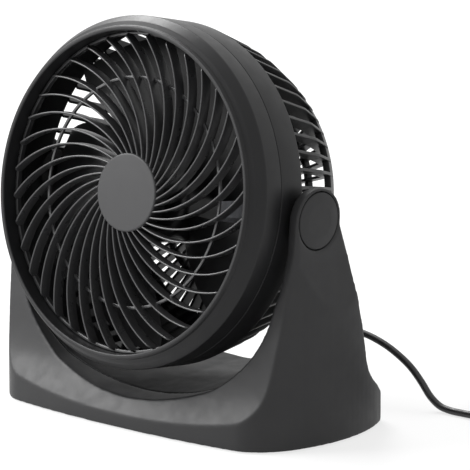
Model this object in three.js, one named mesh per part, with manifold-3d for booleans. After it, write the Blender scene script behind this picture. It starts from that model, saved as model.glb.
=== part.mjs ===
// Air circulator fan: a round head that tilts between the two arms of a moulded base.
// Millimetres, +Z up, the front of the fan faces -Y, and +X is the viewer's right.
// The origin is on the surface that the fan stands on, at the middle of its width and depth.
import * as THREE from "three";
import { mergeVertices } from "three/addons/utils/BufferGeometryUtils.js";
import Module from "manifold-3d";

const wasm = await Module();
wasm.setup();

// ---------------------------------------------------------------- driving dimensions
const touchGap = 0.3; // left between two pieces that touch
const shellWall = 2.4; // wall of every moulded shell
const past = 1; // how far the cutter of a bore runs past its ends
const beyond = 12; // how far a larger cutting shape runs past what it cuts

// the widths follow each other outwards: the head, the saddle that it swings in, and the arms
const headRadius = 120.8; // the crease of the front ring, the widest line round the head
const swingRoom = 2.7; // between the head and the arms
const armDepth = 14.1; // from an arm's inner face to the base's widest line
const saddleHalfWidth = headRadius + swingRoom;
const baseHalfWidth = saddleHalfWidth + armDepth;

// base: the outline on the table, seen from above
const baseFront = 66.5;
const baseBack = 74.5;
const frontEdgeSag = 6.6; // how far the front edge falls back at its ends
const frontCornerWidth = 36;
const frontCornerDepth = 35;
const backCornerWidth = 13.5;
const backCornerDepth = 9.5;
const sideStartInset = 5; // the side starts this far inside the base's half width
const frontEdgePull = 44; // how far the control points of the outline's curves lie from their ends
const frontCornerPull = [14.4, 1.9];
const sideStartPull = [3.1, 16];
const sideFrontPull = [1.9, 23];
const sideBackPull = [3.4, 31];
const backCornerPull = 4.5;
const planSteps = 3; // facets to each curve of the outline
const skirtLift = 0.8; // the skirt ends just above the table

// base: the side view
const skirtHeight = 10.7; // where the bevel starts at the middle of the front
const skirtFall = 0.4; // how far that line has dropped at the cutting shape's end
const bevelLine = [
  // distance in front of the origin and height, up the bevel and the front edge of the arm
  [58.8, 21.2],
  [52.5, 31],
  [49.2, 39],
  [46.2, 51],
  [43.2, 68],
  [40.4, 83],
  [36.3, 111],
  [31, 136],
];
const armBackLine = [
  // distance behind the origin and height, down the back edge of the arm
  [22, 129],
  [26.9, 103],
  [35.5, 73],
  [42.6, 46],
  [49.8, 36.6],
  [60, 29.2],
  [70.6, 21.7],
];
const footBackHeight = 20; // the upright back of the foot
const armTopStep = 28; // degrees from one facet to the next over the arm's round top
const armTopEnd = -20; // degrees, where the round top ends at the back

// base: the saddle that the head swings in, seen from the front
const saddleBottom = 21.2;
const saddleDip = 1.6; // the middle of the floor lies this far below the points beside it
const saddleLine = [
  // distance inside the saddle's half width and height, up one side
  [77.5, 27.2],
  [61.5, 32],
  [50, 36.6],
  [28.8, 53],
  [16.8, 68],
  [9.7, 83],
  [5.5, 98],
  [2, 108],
  [0.7, 125],
];
const pivotLanding = 16; // the arm's inner face is upright from this far below the pivot
const saddleRise = 2.6; // degrees that the saddle floor climbs towards the back
const saddleSeam = 37.3; // the parting line in the saddle, in front of the origin

// pivots in the arms
const headLift = 13.5; // the lowest part of the head's crease is this far above the saddle's middle
const pivotHeight = saddleBottom + headLift + headRadius;
const pivotAhead = 7.3; // the pivots lie this far in front of the origin
const armBossRadius = 22.2;
const armFace = baseHalfWidth - 5.7; // half width over the arms' flat upper ends
const armLeanStart = baseHalfWidth + 1;
const armLeanFrom = 85; // the arms' outer faces lean inwards between these heights
const armLeanTo = 128;
const capRecessRadius = 19.9;
const capRecessDepth = 4.8;
const recessFloor = 1.4;
const capClearance = 0.5;
const capDome = 0.8; // how far the cap's middle stands out of its rim
const capEdge = 0.8; // bevel round the cap's face
const capWall = 1.6;
const pivotStubRadius = 8;
const pivotClearance = 0.4;
const pivotPadRadius = 14;
const pivotPadFace = saddleHalfWidth - 2;
const pivotPadInner = headRadius - 6.8; // inside the drum's wall
const frictionWasherRadius = 13;
const pivotWasherRadius = 11;
const pivotWasherThickness = 0.8;
const pivotScrewHead = 5;
const pivotScrewHeadHeight = 1.7;
const pivotScrewRadius = 2;
const pivotScrewLength = 10;
const pivotSides = 20; // facets round the caps and their recesses
const padSides = 12;
const stubSides = 16;

// feet and base screws
const tabHeight = 3; // underside of the tabs inside the skirt
const tabThickness = 2.4;
const footRadius = 7;
const postRadius = 4.5;
const frontTabX = baseHalfWidth - 65.6;
const frontTabWidth = 34;
const frontTabReach = 24; // the front tabs end this far in front of the origin
const sideTabY = 8;
const sideTabDepth = 16;
const sideTabReach = baseHalfWidth - 39.6; // the side tabs end this far from the middle
const backTabReach = 44; // the back tabs start this far behind the origin
const screwFromTabEnd = 6;
const footFromTabEnd = 17;
const screwHeadRadius = 3.4;
const screwHeadHeight = 2;
const screwShankRadius = 1.4;
const baseScrewLength = 12;
const footSides = 12;
const boreSides = 8; // facets of screw holes and posts
const screwSides = 6;

// head: distances ahead of the pivot axis are along the head's own axis, backwards is negative
const headTilt = 9.69; // degrees that the head looks up at rest
const lipAhead = 55.2;
const lipRadius = headRadius - 7.8;
const lipWidth = 3;
const lipRound = [0.2, 1]; // outwards and behind the lip, where its round edge ends
const flareStart = [3.2, 4.6]; // outwards and behind the lip, where the flare starts
const creaseAhead = 43.4;
const seamAhead = 27;
const seamRadius = headRadius - 1;
const slotAhead = 4.4; // where the drum ends and its fins begin
const slotRadius = headRadius - 2.4;
const frontRingSides = 42;

// front grille
const grilleAhead = 49; // front edges of the ribs
const ribCount = 36;
const ribDepth = 8.5;
const ribThickness = 1.7;
const ribArcRadius = headRadius - 36.8; // each rib follows part of a circle
const ribArcOffset = headRadius - 46.8; // from the head's axis to that circle's centre
const ribPhase = 1; // degrees, where the first rib's circle has its centre
const ribSteps = 4;
const ribRootInset = 1.5; // how far a rib runs into the disc
const grilleRimClearance = 0.35;
const grilleRimWidth = 2.2;
const grilleRimDepth = 9.2;
const grilleRimProud = 0.3;
const discRadius = 26.9;
const discProud = 0.8;
const discDepth = 12;
const discEdge = 1.2; // bevel round the disc's face
const discSides = 20;
const crossRingRadius = 78.6;
const crossRingWidth = 2.2;
const crossRingBehind = 6; // behind the ribs' front edges
const crossRingDepth = 2;

// rear housing: its fins run over the shoulder to the collar that holds the motor cover
const finCount = 60;
const finWidth = 2.3;
const finDepth = 5.6;
const finPhase = 4; // degrees, where the first fin stands
const finMiddle = [headRadius - 11.8, -29]; // radius, and distance ahead of the pivot axis
const shoulderStart = [headRadius - 21.8, -49.5];
const shoulderEnd = [headRadius - 27.3, -59.5];
const backRingStart = [69, -65];
const backRingEnd = [65.4, -65.6];
const collarOuterRadius = 47;
const collarInnerRadius = 41.4;
const collarBack = -67.4;
const collarFront = -56;

// motor, blade and shaft
const motorPlateAhead = -60.4; // back face of the plate inside the collar
const motorPlateThickness = 2.4;
const motorPlateBore = 7;
const statorRadius = 33;
const statorBore = 16.6;
const statorLength = 24;
const windingRadius = 28;
const windingOverhang = 9;
const windingBoreRoom = 3; // between the stator's bore and the winding's
const windingSides = 14;
const bracketThickness = 2;
const bearingRadius = 6;
const bearingLength = 8;
const bearingFit = 0.1;
const shaftRadius = 3;
const shaftSides = 16;
const bearingPlay = 0.1;
const rotorLength = 26;
const rotorGap = 0.6;
const motorScrewCircle = 25;
const hubRadius = 34;
const hubFront = 26;
const hubBack = -9;
const hubWall = 2.2;
const hubBevel = 4;
const hubBoreWall = 5;
const hubBoreLength = 16;
const hubFit = 0.1;
const bladeCount = 5;
const bladeTipRadius = headRadius - 12.8;
const bladeDepth = 27; // along the axis, from leading to trailing edge
const bladeSpan = 58; // degrees that a blade covers
const bladeSweep = 14; // degrees that the tip leads the root
const bladePhase = 20; // degrees, where the first blade stands
const bladeThickness = 1.8;
const bladeMiddle = 9;
const bladeCamber = 2;
const bladeTaper = 0.18; // share of its depth that a blade has lost at the tip
const bladeRounding = 0.22; // share of its span that the rounded tip has lost
const bladeAlongSteps = 3;
const bladeChordSteps = 3;
const nutRadius = 8;
const nutLength = 7;
const nutBevel = 2.5;

// motor cover, switch and knob
const coverRadius = 44.5;
const coverBack = -77.6;
const coverBevel = 4;
const coverSides = 20;
const switchWidth = 26;
const switchHeight = 20;
const switchDepth = 9;
const stemRadius = 3;
const stemReach = 5; // how far the knob's stem goes into the switch
const stemSides = 12;
const knobRadius = 17;
const knobLength = 8.4;
const knobRibs = 12;
const knobRibDepth = 0.9;
const pointerWidth = 1.8; // the groove in the knob's face that shows where it stands
const pointerDepth = 0.6;
const pointerInset = 2;
const pointerLength = 11;

// clips inside the drum that hold the front ring on it
const clipWidth = 12;
const clipLength = 13;
const clipThickness = 1.8;
const clipRoom = 1; // between a clip and the drum's wall
const clipPlaces = [
  ["top", 90],
  ["left", 210],
  ["right", 330],
];

// cord: it leaves its relief behind and below the pivot axis, where the head never swings
const cordDiameter = 5;
const cordStartRadius = 106; // from the pivot axis to where the cord leaves its relief
const cordStartAngle = 45; // degrees below level, seen from the side
const reliefRootRadius = 4.2;
const reliefTipRadius = 3.2;
const reliefRootLength = 5; // down out of the cover
const reliefRootDrift = 0.4; // backwards over that length
const reliefTipLength = 8; // straight along the cord
const reliefSteps = 8;
const reliefSides = 10;
const cordRoute = [
  // hand-laid points from behind the head down to the table and along it
  [0, 72.6, 75.6],
  [0.8, 78, 69.6],
  [6, 87.5, 58.6],
  [22, 101.6, 50.8],
  [44.3, 110.7, 46.9],
  [66.5, 115, 44.9],
  [84.6, 115.7, 40.2],
  [98, 115.7, 34.4],
  [109.5, 115.7, 27.4],
  [119, 115.7, 18.6],
  [127, 115.7, 9.8],
  [135.5, 115.7, 4.4],
  [144, 115.7, 2.8],
  [156, 115.7, 2.7],
  [168, 115.7, 3],
];
const coilCentreX = 188;
const coilTurns = 4; // in each of its two layers
const coilInnerRadius = 20;
const coilPitch = 5.7; // from one turn to the next, across and up
const coilSteps = 16;
const coilSides = 6;
const leadSteps = 22;
const leadSides = 8;
const tieAngle = 90; // degrees round the coil
const tieWidth = 5;
const tieThickness = 0.8;
const tieClearance = 0.8;
const plugGap = 20; // straight cord between the coil and the plug
const plugHalfWidth = 12.4;
const plugHalfHeight = 9;
const plugLength = 40;
const plugBladeSpacing = 12.7;
const plugBladeWidth = 6.35;
const plugBladeThickness = 1.5;
const plugBladeLength = 16;
const plugBladeInset = 6;
const plugSides = 12;
const plugStations = [
  // along the plug, half width and half height
  [0, 3.4, 3.4],
  [12, 4.4, 4.4],
  [14.5, 9.2, 7.7],
  [20, plugHalfWidth, plugHalfHeight],
  [plugLength - 2, plugHalfWidth, plugHalfHeight],
  [plugLength, plugHalfWidth - 1.2, plugHalfHeight - 1.2],
];

// ---------------------------------------------------------------- solids
function closedArrays(geometry) {
  const bare = geometry.index ? geometry.toNonIndexed() : geometry.clone();
  for (const name of Object.keys(bare.attributes)) {
    if (name !== "position") bare.deleteAttribute(name);
  }
  const merged = mergeVertices(bare, 1e-4);
  const position = merged.attributes.position.array;
  const triangles = [];
  let volume = 0;
  for (let i = 0; i < merged.index.count; i += 3) {
    const [a, b, c] = [0, 1, 2].map((k) => merged.index.getX(i + k));
    if (a === b || b === c || c === a) continue;
    triangles.push(a, b, c);
    const [pa, pb, pc] = [a, b, c].map((k) => new THREE.Vector3().fromArray(position, 3 * k));
    volume += pa.dot(pb.cross(pc));
  }
  if (volume < 0) {
    for (let i = 0; i < triangles.length; i += 3) {
      [triangles[i], triangles[i + 1]] = [triangles[i + 1], triangles[i]];
    }
  }
  return { position, triangles };
}

function solid(geometry) {
  const { position, triangles } = closedArrays(geometry);
  const mesh = new wasm.Mesh({
    numProp: 3,
    vertProperties: new Float32Array(position),
    triVerts: new Uint32Array(triangles),
  });
  return new wasm.Manifold(mesh);
}

function geometryOf(shape) {
  const mesh = shape.getMesh();
  const geometry = new THREE.BufferGeometry();
  geometry.setAttribute("position", new THREE.BufferAttribute(mesh.vertProperties, 3));
  geometry.setIndex(new THREE.BufferAttribute(mesh.triVerts, 1));
  return geometry;
}

function joinAll(first, ...others) {
  return others.reduce((whole, next) => whole.add(next), first);
}

function cutAll(first, ...others) {
  return others.reduce((whole, next) => whole.subtract(next), first);
}

function box(x0, x1, y0, y1, z0, z1) {
  const geometry = new THREE.BoxGeometry(x1 - x0, y1 - y0, z1 - z0);
  return geometry.translate((x0 + x1) / 2, (y0 + y1) / 2, (z0 + z1) / 2);
}

// a lathe about the head's own axis, from [radius, distance ahead] points; ahead is -Y
function headLathe(points, segments) {
  const profile = points.map(([radius, ahead]) => new THREE.Vector2(radius, -ahead));
  return new THREE.LatheGeometry(profile, segments);
}

function headTube(outer, inner, front, back, segments) {
  const profile = [
    [outer, front],
    [outer, back],
    [inner, back],
    [inner, front],
    [outer, front],
  ];
  return headLathe(profile, segments);
}

function headRod(radius, front, back, segments) {
  return headLathe([[0, front], [radius, front], [radius, back], [0, back]], segments);
}

// a cylinder along X, centred on the pivot axis; side is 1 or -1
function pivotCylinder(radius, fromX, toX, side, segments = pivotSides) {
  const geometry = new THREE.CylinderGeometry(radius, radius, toX - fromX, segments);
  return geometry.rotateZ(Math.PI / 2).translate((side * (fromX + toX)) / 2, 0, 0);
}

function upright(radius, x, y, z0, z1, segments) {
  const geometry = new THREE.CylinderGeometry(radius, radius, z1 - z0, segments);
  return geometry.rotateX(Math.PI / 2).translate(x, y, (z0 + z1) / 2);
}

// a closed outline moved inwards by a distance; its points run anticlockwise
function insetOutline(points, distance) {
  const count = points.length;
  return points.map((point, i) => {
    const before = points[(i + count - 1) % count];
    const after = points[(i + 1) % count];
    const first = point.clone().sub(before).normalize();
    const second = after.clone().sub(point).normalize();
    const bisector = new THREE.Vector2(-first.y - second.y, first.x + second.x).normalize();
    const shorten = Math.max(0.4, bisector.dot(new THREE.Vector2(-first.y, first.x)));
    return point.clone().addScaledVector(bisector, distance / shorten);
  });
}

function extruded(points, depth) {
  return new THREE.ExtrudeGeometry(new THREE.Shape(points), { depth, bevelEnabled: false });
}

// an outline of (y, z) points, extruded along X
function extrudeAcross(points, halfLength) {
  const axes = new THREE.Matrix4().set(0, 0, 1, -halfLength, 1, 0, 0, 0, 0, 1, 0, 0, 0, 0, 0, 1);
  return extruded(points, 2 * halfLength).applyMatrix4(axes);
}

// an outline of (x, z) points, extruded along Y
function extrudeBack(points, y0, y1) {
  return extruded(points, y1 - y0).rotateX(Math.PI / 2).translate(0, y1, 0);
}

// a screw that stands on its shank's end; the underside of its head is at height 0
function screw(topRadius, headHeight, shankRadius, length, segments) {
  const profile = [
    [0, headHeight],
    [0.7 * topRadius, headHeight],
    [topRadius, 0.45 * headHeight],
    [topRadius, 0],
    [shankRadius, 0],
    [shankRadius, -length],
    [0, -length],
  ];
  return new THREE.LatheGeometry(profile.map(([x, y]) => new THREE.Vector2(x, y)), segments);
}

function geometryFrom(positions, index) {
  const geometry = new THREE.BufferGeometry();
  geometry.setAttribute("position", new THREE.Float32BufferAttribute(positions, 3));
  geometry.setIndex(index);
  return geometry;
}

// a closed skin through rings of as many points each; ringAt(i) gives the points of ring i
function skinned(ringCount, ringAt) {
  const positions = [];
  const index = [];
  let sides = 0;
  for (let i = 0; i < ringCount; i++) {
    const ring = ringAt(i);
    sides = ring.length;
    ring.forEach((point) => positions.push(point.x, point.y, point.z));
  }
  const at = (i, j) => i * sides + (j % sides);
  for (let i = 0; i < ringCount - 1; i++) {
    for (let j = 0; j < sides; j++) {
      index.push(at(i, j), at(i, j + 1), at(i + 1, j + 1));
      index.push(at(i, j), at(i + 1, j + 1), at(i + 1, j));
    }
  }
  const last = ringCount - 1;
  for (let j = 1; j < sides - 1; j++) {
    index.push(at(0, 0), at(0, j + 1), at(0, j));
    index.push(at(last, 0), at(last, j), at(last, j + 1));
  }
  return geometryFrom(positions, index);
}

// a closed sheet whose two faces follow each other; facePoint(face, i, j) gives a point of face 0 or 1
function sheetSolid(rows, columns, facePoint) {
  const positions = [];
  const index = [];
  for (const face of [0, 1]) {
    for (let i = 0; i <= rows; i++) {
      for (let j = 0; j <= columns; j++) positions.push(...facePoint(face, i, j).toArray());
    }
  }
  const at = (face, i, j) => (face * (rows + 1) + i) * (columns + 1) + j;
  const quad = (a, b, c, d) => index.push(a, b, c, a, c, d);
  for (let i = 0; i < rows; i++) {
    for (let j = 0; j < columns; j++) {
      quad(at(0, i, j), at(0, i, j + 1), at(0, i + 1, j + 1), at(0, i + 1, j));
      index.push(at(1, i, j), at(1, i + 1, j + 1), at(1, i, j + 1));
      index.push(at(1, i, j), at(1, i + 1, j), at(1, i + 1, j + 1));
    }
    quad(at(0, i + 1, 0), at(1, i + 1, 0), at(1, i, 0), at(0, i, 0));
    quad(at(0, i, columns), at(1, i, columns), at(1, i + 1, columns), at(0, i + 1, columns));
  }
  for (let j = 0; j < columns; j++) {
    quad(at(0, 0, j), at(1, 0, j), at(1, 0, j + 1), at(0, 0, j + 1));
    quad(at(0, rows, j + 1), at(1, rows, j + 1), at(1, rows, j), at(0, rows, j));
  }
  return geometryFrom(positions, index);
}

// ---------------------------------------------------------------- materials
function moulded(color, roughness) {
  return new THREE.MeshStandardMaterial({ color, roughness, metalness: 0 });
}

function metal(color, roughness) {
  return new THREE.MeshStandardMaterial({ color, roughness, metalness: 1 });
}

const basePlastic = moulded(0x3a3a3b, 0.55);
const headPlastic = moulded(0x2f2f30, 0.55);
const grillePlastic = moulded(0x4a4a4b, 0.5);
const rubber = moulded(0x161616, 0.9);
const screwSteel = metal(0x9a9a9c, 0.35);
const motorSteel = metal(0x85868a, 0.45);
const windingCopper = metal(0xa8603a, 0.4);
const bearingBronze = metal(0xb08d57, 0.35);
const cordVinyl = moulded(0x141414, 0.5);

const fan = new THREE.Group();
const base = new THREE.Group();
const head = new THREE.Group();
fan.add(base, head);
head.position.set(0, -pivotAhead, pivotHeight);
head.rotation.x = THREE.MathUtils.degToRad(-headTilt);

function piece(parent, name, shape, material) {
  const geometry = geometryOf(shape.isBufferGeometry ? solid(shape) : shape);
  const mesh = new THREE.Mesh(geometry, material.clone());
  mesh.name = name;
  parent.add(mesh);
  return mesh;
}

// ---------------------------------------------------------------- base
function planHalf() {
  const frontEndX = baseHalfWidth - frontCornerWidth;
  const frontEndY = -baseFront + frontEdgeSag;
  const sideStartX = baseHalfWidth - sideStartInset;
  const sideStartY = frontEndY + frontCornerDepth;
  const sideEndX = baseHalfWidth - backCornerWidth;
  const sideEndY = baseBack - backCornerDepth;
  const shape = new THREE.Shape();
  shape.moveTo(0, -baseFront);
  shape.quadraticCurveTo(frontEndX - frontEdgePull, -baseFront, frontEndX, frontEndY);
  shape.bezierCurveTo(
    frontEndX + frontCornerPull[0], frontEndY + frontCornerPull[1],
    sideStartX - sideStartPull[0], sideStartY - sideStartPull[1],
    sideStartX, sideStartY,
  );
  shape.bezierCurveTo(
    baseHalfWidth + sideFrontPull[0], sideStartY + sideFrontPull[1],
    baseHalfWidth + sideBackPull[0], sideEndY - sideBackPull[1],
    sideEndX, sideEndY,
  );
  shape.quadraticCurveTo(sideEndX - backCornerPull, baseBack, sideEndX - backCornerWidth, baseBack);
  return shape.getPoints(planSteps);
}

function planOutline(inset) {
  const right = planHalf();
  const left = right.slice(1).reverse();
  const mirrored = left.map((point) => new THREE.Vector2(-point.x, point.y));
  return insetOutline([...right, ...mirrored], inset);
}

// side view of the foot and arms as (y, z) points, anticlockwise seen from the right
function sideOutline(inset) {
  const front = bevelLine.map(([ahead, height]) => new THREE.Vector2(-ahead, height));
  const back = armBackLine.map(([behind, height]) => new THREE.Vector2(behind, height));
  const top = [];
  for (let degrees = 180; degrees >= armTopEnd; degrees -= armTopStep) {
    const angle = THREE.MathUtils.degToRad(degrees);
    const y = -pivotAhead + armBossRadius * Math.cos(angle);
    top.push(new THREE.Vector2(y, pivotHeight + armBossRadius * Math.sin(angle)));
  }
  const outline = [
    new THREE.Vector2(-baseFront - beyond, -beyond),
    new THREE.Vector2(-baseFront - beyond, skirtHeight - skirtFall),
    new THREE.Vector2(-baseFront, skirtHeight),
    ...front,
    ...top,
    ...back,
    new THREE.Vector2(baseBack + beyond, footBackHeight),
    new THREE.Vector2(baseBack + beyond, -beyond),
  ];
  return insetOutline(outline.reverse(), inset);
}

const aboveArms = pivotHeight + armBossRadius + beyond;

// front view of the arms' outer faces: upright from the table, then leaning in to the pivots
function leanOutline(inset) {
  const right = [
    new THREE.Vector2(armLeanStart + beyond, -beyond),
    new THREE.Vector2(armLeanStart + beyond, armLeanFrom - past),
    new THREE.Vector2(armLeanStart, armLeanFrom),
    new THREE.Vector2(armFace, armLeanTo),
    new THREE.Vector2(armFace, aboveArms),
  ];
  const left = [...right].reverse().map((point) => new THREE.Vector2(-point.x, point.y));
  return insetOutline([...right, ...left], inset);
}

function saddleOutline(outset) {
  const right = [
    ...saddleLine.map(([inwards, z]) => new THREE.Vector2(saddleHalfWidth - inwards, z)),
    new THREE.Vector2(saddleHalfWidth, pivotHeight - pivotLanding),
    new THREE.Vector2(saddleHalfWidth, aboveArms),
  ];
  const left = [...right].reverse().map((point) => new THREE.Vector2(-point.x, point.y));
  const middle = new THREE.Vector2(0, saddleBottom);
  const near = [
    new THREE.Vector2(right[0].x / 2, saddleBottom + saddleDip),
    new THREE.Vector2(-right[0].x / 2, saddleBottom + saddleDip),
  ];
  return insetOutline([middle, near[0], ...right, ...left, near[1]], -outset);
}

// the saddle's floor climbs towards the back from where it leaves the bevel
function saddleCutter(outset) {
  const reach = baseFront + baseBack;
  const start = new THREE.Vector3(0, -bevelLine[0][0], saddleBottom);
  const cutter = extrudeBack(saddleOutline(outset), -reach, reach);
  cutter.translate(-start.x, -start.y, -start.z);
  cutter.rotateX(THREE.MathUtils.degToRad(saddleRise));
  return solid(cutter.translate(start.x, start.y, start.z));
}

function atPivot(geometry) {
  return geometry.translate(0, -pivotAhead, pivotHeight);
}

function baseBlock(inset) {
  const below = inset > 0 ? -beyond : skirtLift;
  const plan = solid(extruded(planOutline(inset), aboveArms + beyond).translate(0, 0, below));
  const side = solid(extrudeAcross(sideOutline(inset), baseHalfWidth + beyond));
  const lean = solid(extrudeBack(leanOutline(inset), -baseFront - beyond, baseBack + beyond));
  return plan.intersect(side).intersect(lean);
}

// the space behind the parting line and inside the outer walls, which the rear shell fills
function rearZone(gap) {
  const inset = shellWall + touchGap - gap;
  const inside = baseBlock(inset);
  const halfBack = baseHalfWidth - 2 * backCornerWidth + gap;
  const backStart = baseBack - footBackHeight;
  const backEnd = baseBack + beyond;
  const behind = solid(box(-halfBack, halfBack, backStart, backEnd, -beyond, pivotHeight));
  const half = baseHalfWidth + beyond;
  const cut = solid(box(-half, half, -saddleSeam - gap, backEnd, -beyond, aboveArms));
  return inside.add(behind).intersect(cut);
}

const capSeat = armFace - capRecessDepth; // where a cap's recess ends
const cupBack = capSeat - recessFloor;

function pivotCup(side) {
  return solid(atPivot(pivotCylinder(armBossRadius - touchGap, cupBack, armFace, side)));
}

function pivotRecess(side) {
  return solid(atPivot(pivotCylinder(capRecessRadius, capSeat, armFace + beyond, side)));
}

function pivotBore(side) {
  const hole = pivotStubRadius + pivotClearance;
  return solid(atPivot(pivotCylinder(hole, saddleHalfWidth - beyond, armFace + beyond, side)));
}

// room in the rear shell's arm for the cup that holds the cap
function cupRoom(side) {
  const radius = armBossRadius + touchGap;
  return solid(atPivot(pivotCylinder(radius, cupBack - touchGap, armFace + beyond, side)));
}

// the front and side tabs of the front shell take the screws that hold the rear shell, and the front and
// back tabs carry the feet
function tabsAt(at) {
  return [-1, 1].map((side) => ({ name: `${at}_${side < 0 ? "left" : "right"}`, side, at }));
}

const frontTabs = tabsAt("front");
const sideTabs = tabsAt("side");
const backTabs = tabsAt("back");

function tabPlace(tab, fromEnd) {
  if (tab.at === "front") return [tab.side * frontTabX, -frontTabReach - fromEnd];
  if (tab.at === "back") return [tab.side * frontTabX, backTabReach + fromEnd];
  return [tab.side * (sideTabReach + fromEnd), sideTabY];
}

function tabPlate(tab) {
  const top = tabHeight + tabThickness;
  const slab = (x0, x1, y0, y1) => solid(box(x0, x1, y0, y1, tabHeight, top));
  const start = tab.side * frontTabX - frontTabWidth / 2;
  const end = start + frontTabWidth;
  if (tab.at === "front") return slab(start, end, -baseFront, -frontTabReach);
  if (tab.at === "back") return slab(start, end, backTabReach, baseBack);
  const depth = sideTabDepth / 2;
  const [x0, x1] = tab.side > 0 ? [sideTabReach, baseHalfWidth] : [-baseHalfWidth, -sideTabReach];
  return slab(x0, x1, sideTabY - depth, sideTabY + depth);
}

function screwHole(tab) {
  const [x, y] = tabPlace(tab, screwFromTabEnd);
  const top = tabHeight + baseScrewLength + touchGap;
  return solid(upright(screwShankRadius + touchGap, x, y, tabHeight - past, top, boreSides));
}

function buildBase() {
  const shell = baseBlock(0).subtract(saddleCutter(0));
  const hollow = baseBlock(shellWall).subtract(saddleCutter(shellWall));
  const walls = shell.subtract(hollow);
  const skirtInside = solid(extruded(planOutline(shellWall / 2), pivotHeight));
  const plates = (list) => list.map((tab) => tabPlate(tab).intersect(skirtInside));
  const screwTabs = [...frontTabs, ...sideTabs];
  const holes = screwTabs.map(screwHole);
  const sides = [1, -1];
  const bores = sides.map(pivotBore);

  const frontWalls = walls.subtract(rearZone(touchGap));
  const front = joinAll(frontWalls, ...plates(screwTabs), ...sides.map(pivotCup));
  const frontShell = cutAll(front, ...sides.map(pivotRecess), ...bores, ...holes);
  piece(base, "base_front_shell", frontShell, basePlastic);

  const underSaddle = baseBlock(2 * shellWall).subtract(saddleCutter(shellWall / 2));
  const posts = screwTabs.map((tab) => {
    const [x, y] = tabPlace(tab, screwFromTabEnd);
    const foot = tabHeight + tabThickness + touchGap;
    const post = upright(postRadius, x, y, foot, pivotHeight / 2, boreSides);
    return solid(post).intersect(underSaddle);
  });
  const rear = joinAll(walls.intersect(rearZone(0)), ...posts, ...plates(backTabs));
  const rearShell = cutAll(rear, ...sides.map(cupRoom), ...bores, ...holes);
  piece(base, "base_rear_shell", rearShell, basePlastic);

  for (const tab of [...frontTabs, ...backTabs]) {
    const [x, y] = tabPlace(tab, footFromTabEnd);
    const foot = upright(footRadius, x, y, 0, tabHeight - touchGap, footSides);
    piece(base, `rubber_foot_${tab.name}`, foot, rubber);
  }
  for (const tab of screwTabs) {
    const [x, y] = tabPlace(tab, screwFromTabEnd);
    const fastener = smallScrew(baseScrewLength);
    fastener.rotateX(-Math.PI / 2).translate(x, y, tabHeight - touchGap);
    piece(base, `base_screw_${tab.name}`, fastener, screwSteel);
  }
}

function smallScrew(length) {
  return screw(screwHeadRadius, screwHeadHeight, screwShankRadius, length, screwSides);
}

function buildPivotCap(side, name) {
  const rim = capRecessRadius - capClearance;
  const back = capSeat + touchGap;
  const inner = rim - capWall;
  const face = armFace - touchGap;
  const profile = [
    [0, face + capDome],
    [0.6 * rim, face + 0.64 * capDome],
    [rim - capEdge, face],
    [rim, face - capEdge],
    [rim, back],
    [inner, back],
    [inner, face - capWall],
    [0, face + capDome - capWall],
  ].map(([radius, x]) => new THREE.Vector2(radius, x));
  const lathe = new THREE.LatheGeometry(profile, pivotSides);
  lathe.rotateZ((-side * Math.PI) / 2);
  piece(base, name, atPivot(lathe), basePlastic);
}

// ---------------------------------------------------------------- head: drum and grilles
// a wall of revolution with fins: each station has an outer and an inner point and a turn in degrees,
// and the stretch that follows it is either a closed band or left open between the fins
function finnedWall(stations, columns, width, phase) {
  const positions = [];
  const index = [];
  for (const { outer, inner } of stations) {
    for (let column = 0; column < columns; column++) {
      for (const side of [-1, 1]) {
        for (const [radius, ahead] of [outer, inner]) {
          const middle = THREE.MathUtils.degToRad((column * 360) / columns + phase);
          const angle = middle + (side * width) / 2 / radius;
          positions.push(radius * Math.cos(angle), -ahead, radius * Math.sin(angle));
        }
      }
    }
  }
  // a corner is a station, a column, the fin's left or right side, and its outer or inner edge
  const cornerIndex = ([station, column, right, inner]) =>
    4 * ((column % columns) + columns * station) + 2 * right + inner;
  const quad = (...corners) => {
    const [a, b, c, d] = corners.map(cornerIndex);
    index.push(a, b, c, a, c, d);
  };
  const last = stations.length - 1;
  for (let i = 0; i < columns; i++) {
    const next = i + 1;
    for (let s = 0; s < last; s++) {
      const t = s + 1;
      quad([s, i, 1, 0], [s, i, 0, 0], [t, i, 0, 0], [t, i, 1, 0]);
      quad([s, i, 0, 1], [s, i, 1, 1], [t, i, 1, 1], [t, i, 0, 1]);
      if (stations[s].band) {
        quad([s, next, 0, 0], [s, i, 1, 0], [t, i, 1, 0], [t, next, 0, 0]);
        quad([s, i, 1, 1], [s, next, 0, 1], [t, next, 0, 1], [t, i, 1, 1]);
      } else {
        quad([s, i, 0, 0], [s, i, 0, 1], [t, i, 0, 1], [t, i, 0, 0]);
        quad([s, i, 1, 1], [s, i, 1, 0], [t, i, 1, 0], [t, i, 1, 1]);
      }
    }
    for (let s = 0; s <= last; s++) {
      const bandBefore = s > 0 && stations[s - 1].band;
      const bandAfter = s < last && stations[s].band;
      if (bandAfter === bandBefore) continue;
      const edge = [[s, i, 1, 0], [s, next, 0, 0], [s, next, 0, 1], [s, i, 1, 1]];
      quad(...(bandAfter ? edge : edge.reverse()));
    }
    quad([0, i, 0, 0], [0, i, 1, 0], [0, i, 1, 1], [0, i, 0, 1]);
    quad([last, i, 1, 0], [last, i, 0, 0], [last, i, 0, 1], [last, i, 1, 1]);
  }
  return geometryFrom(positions, index);
}

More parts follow.
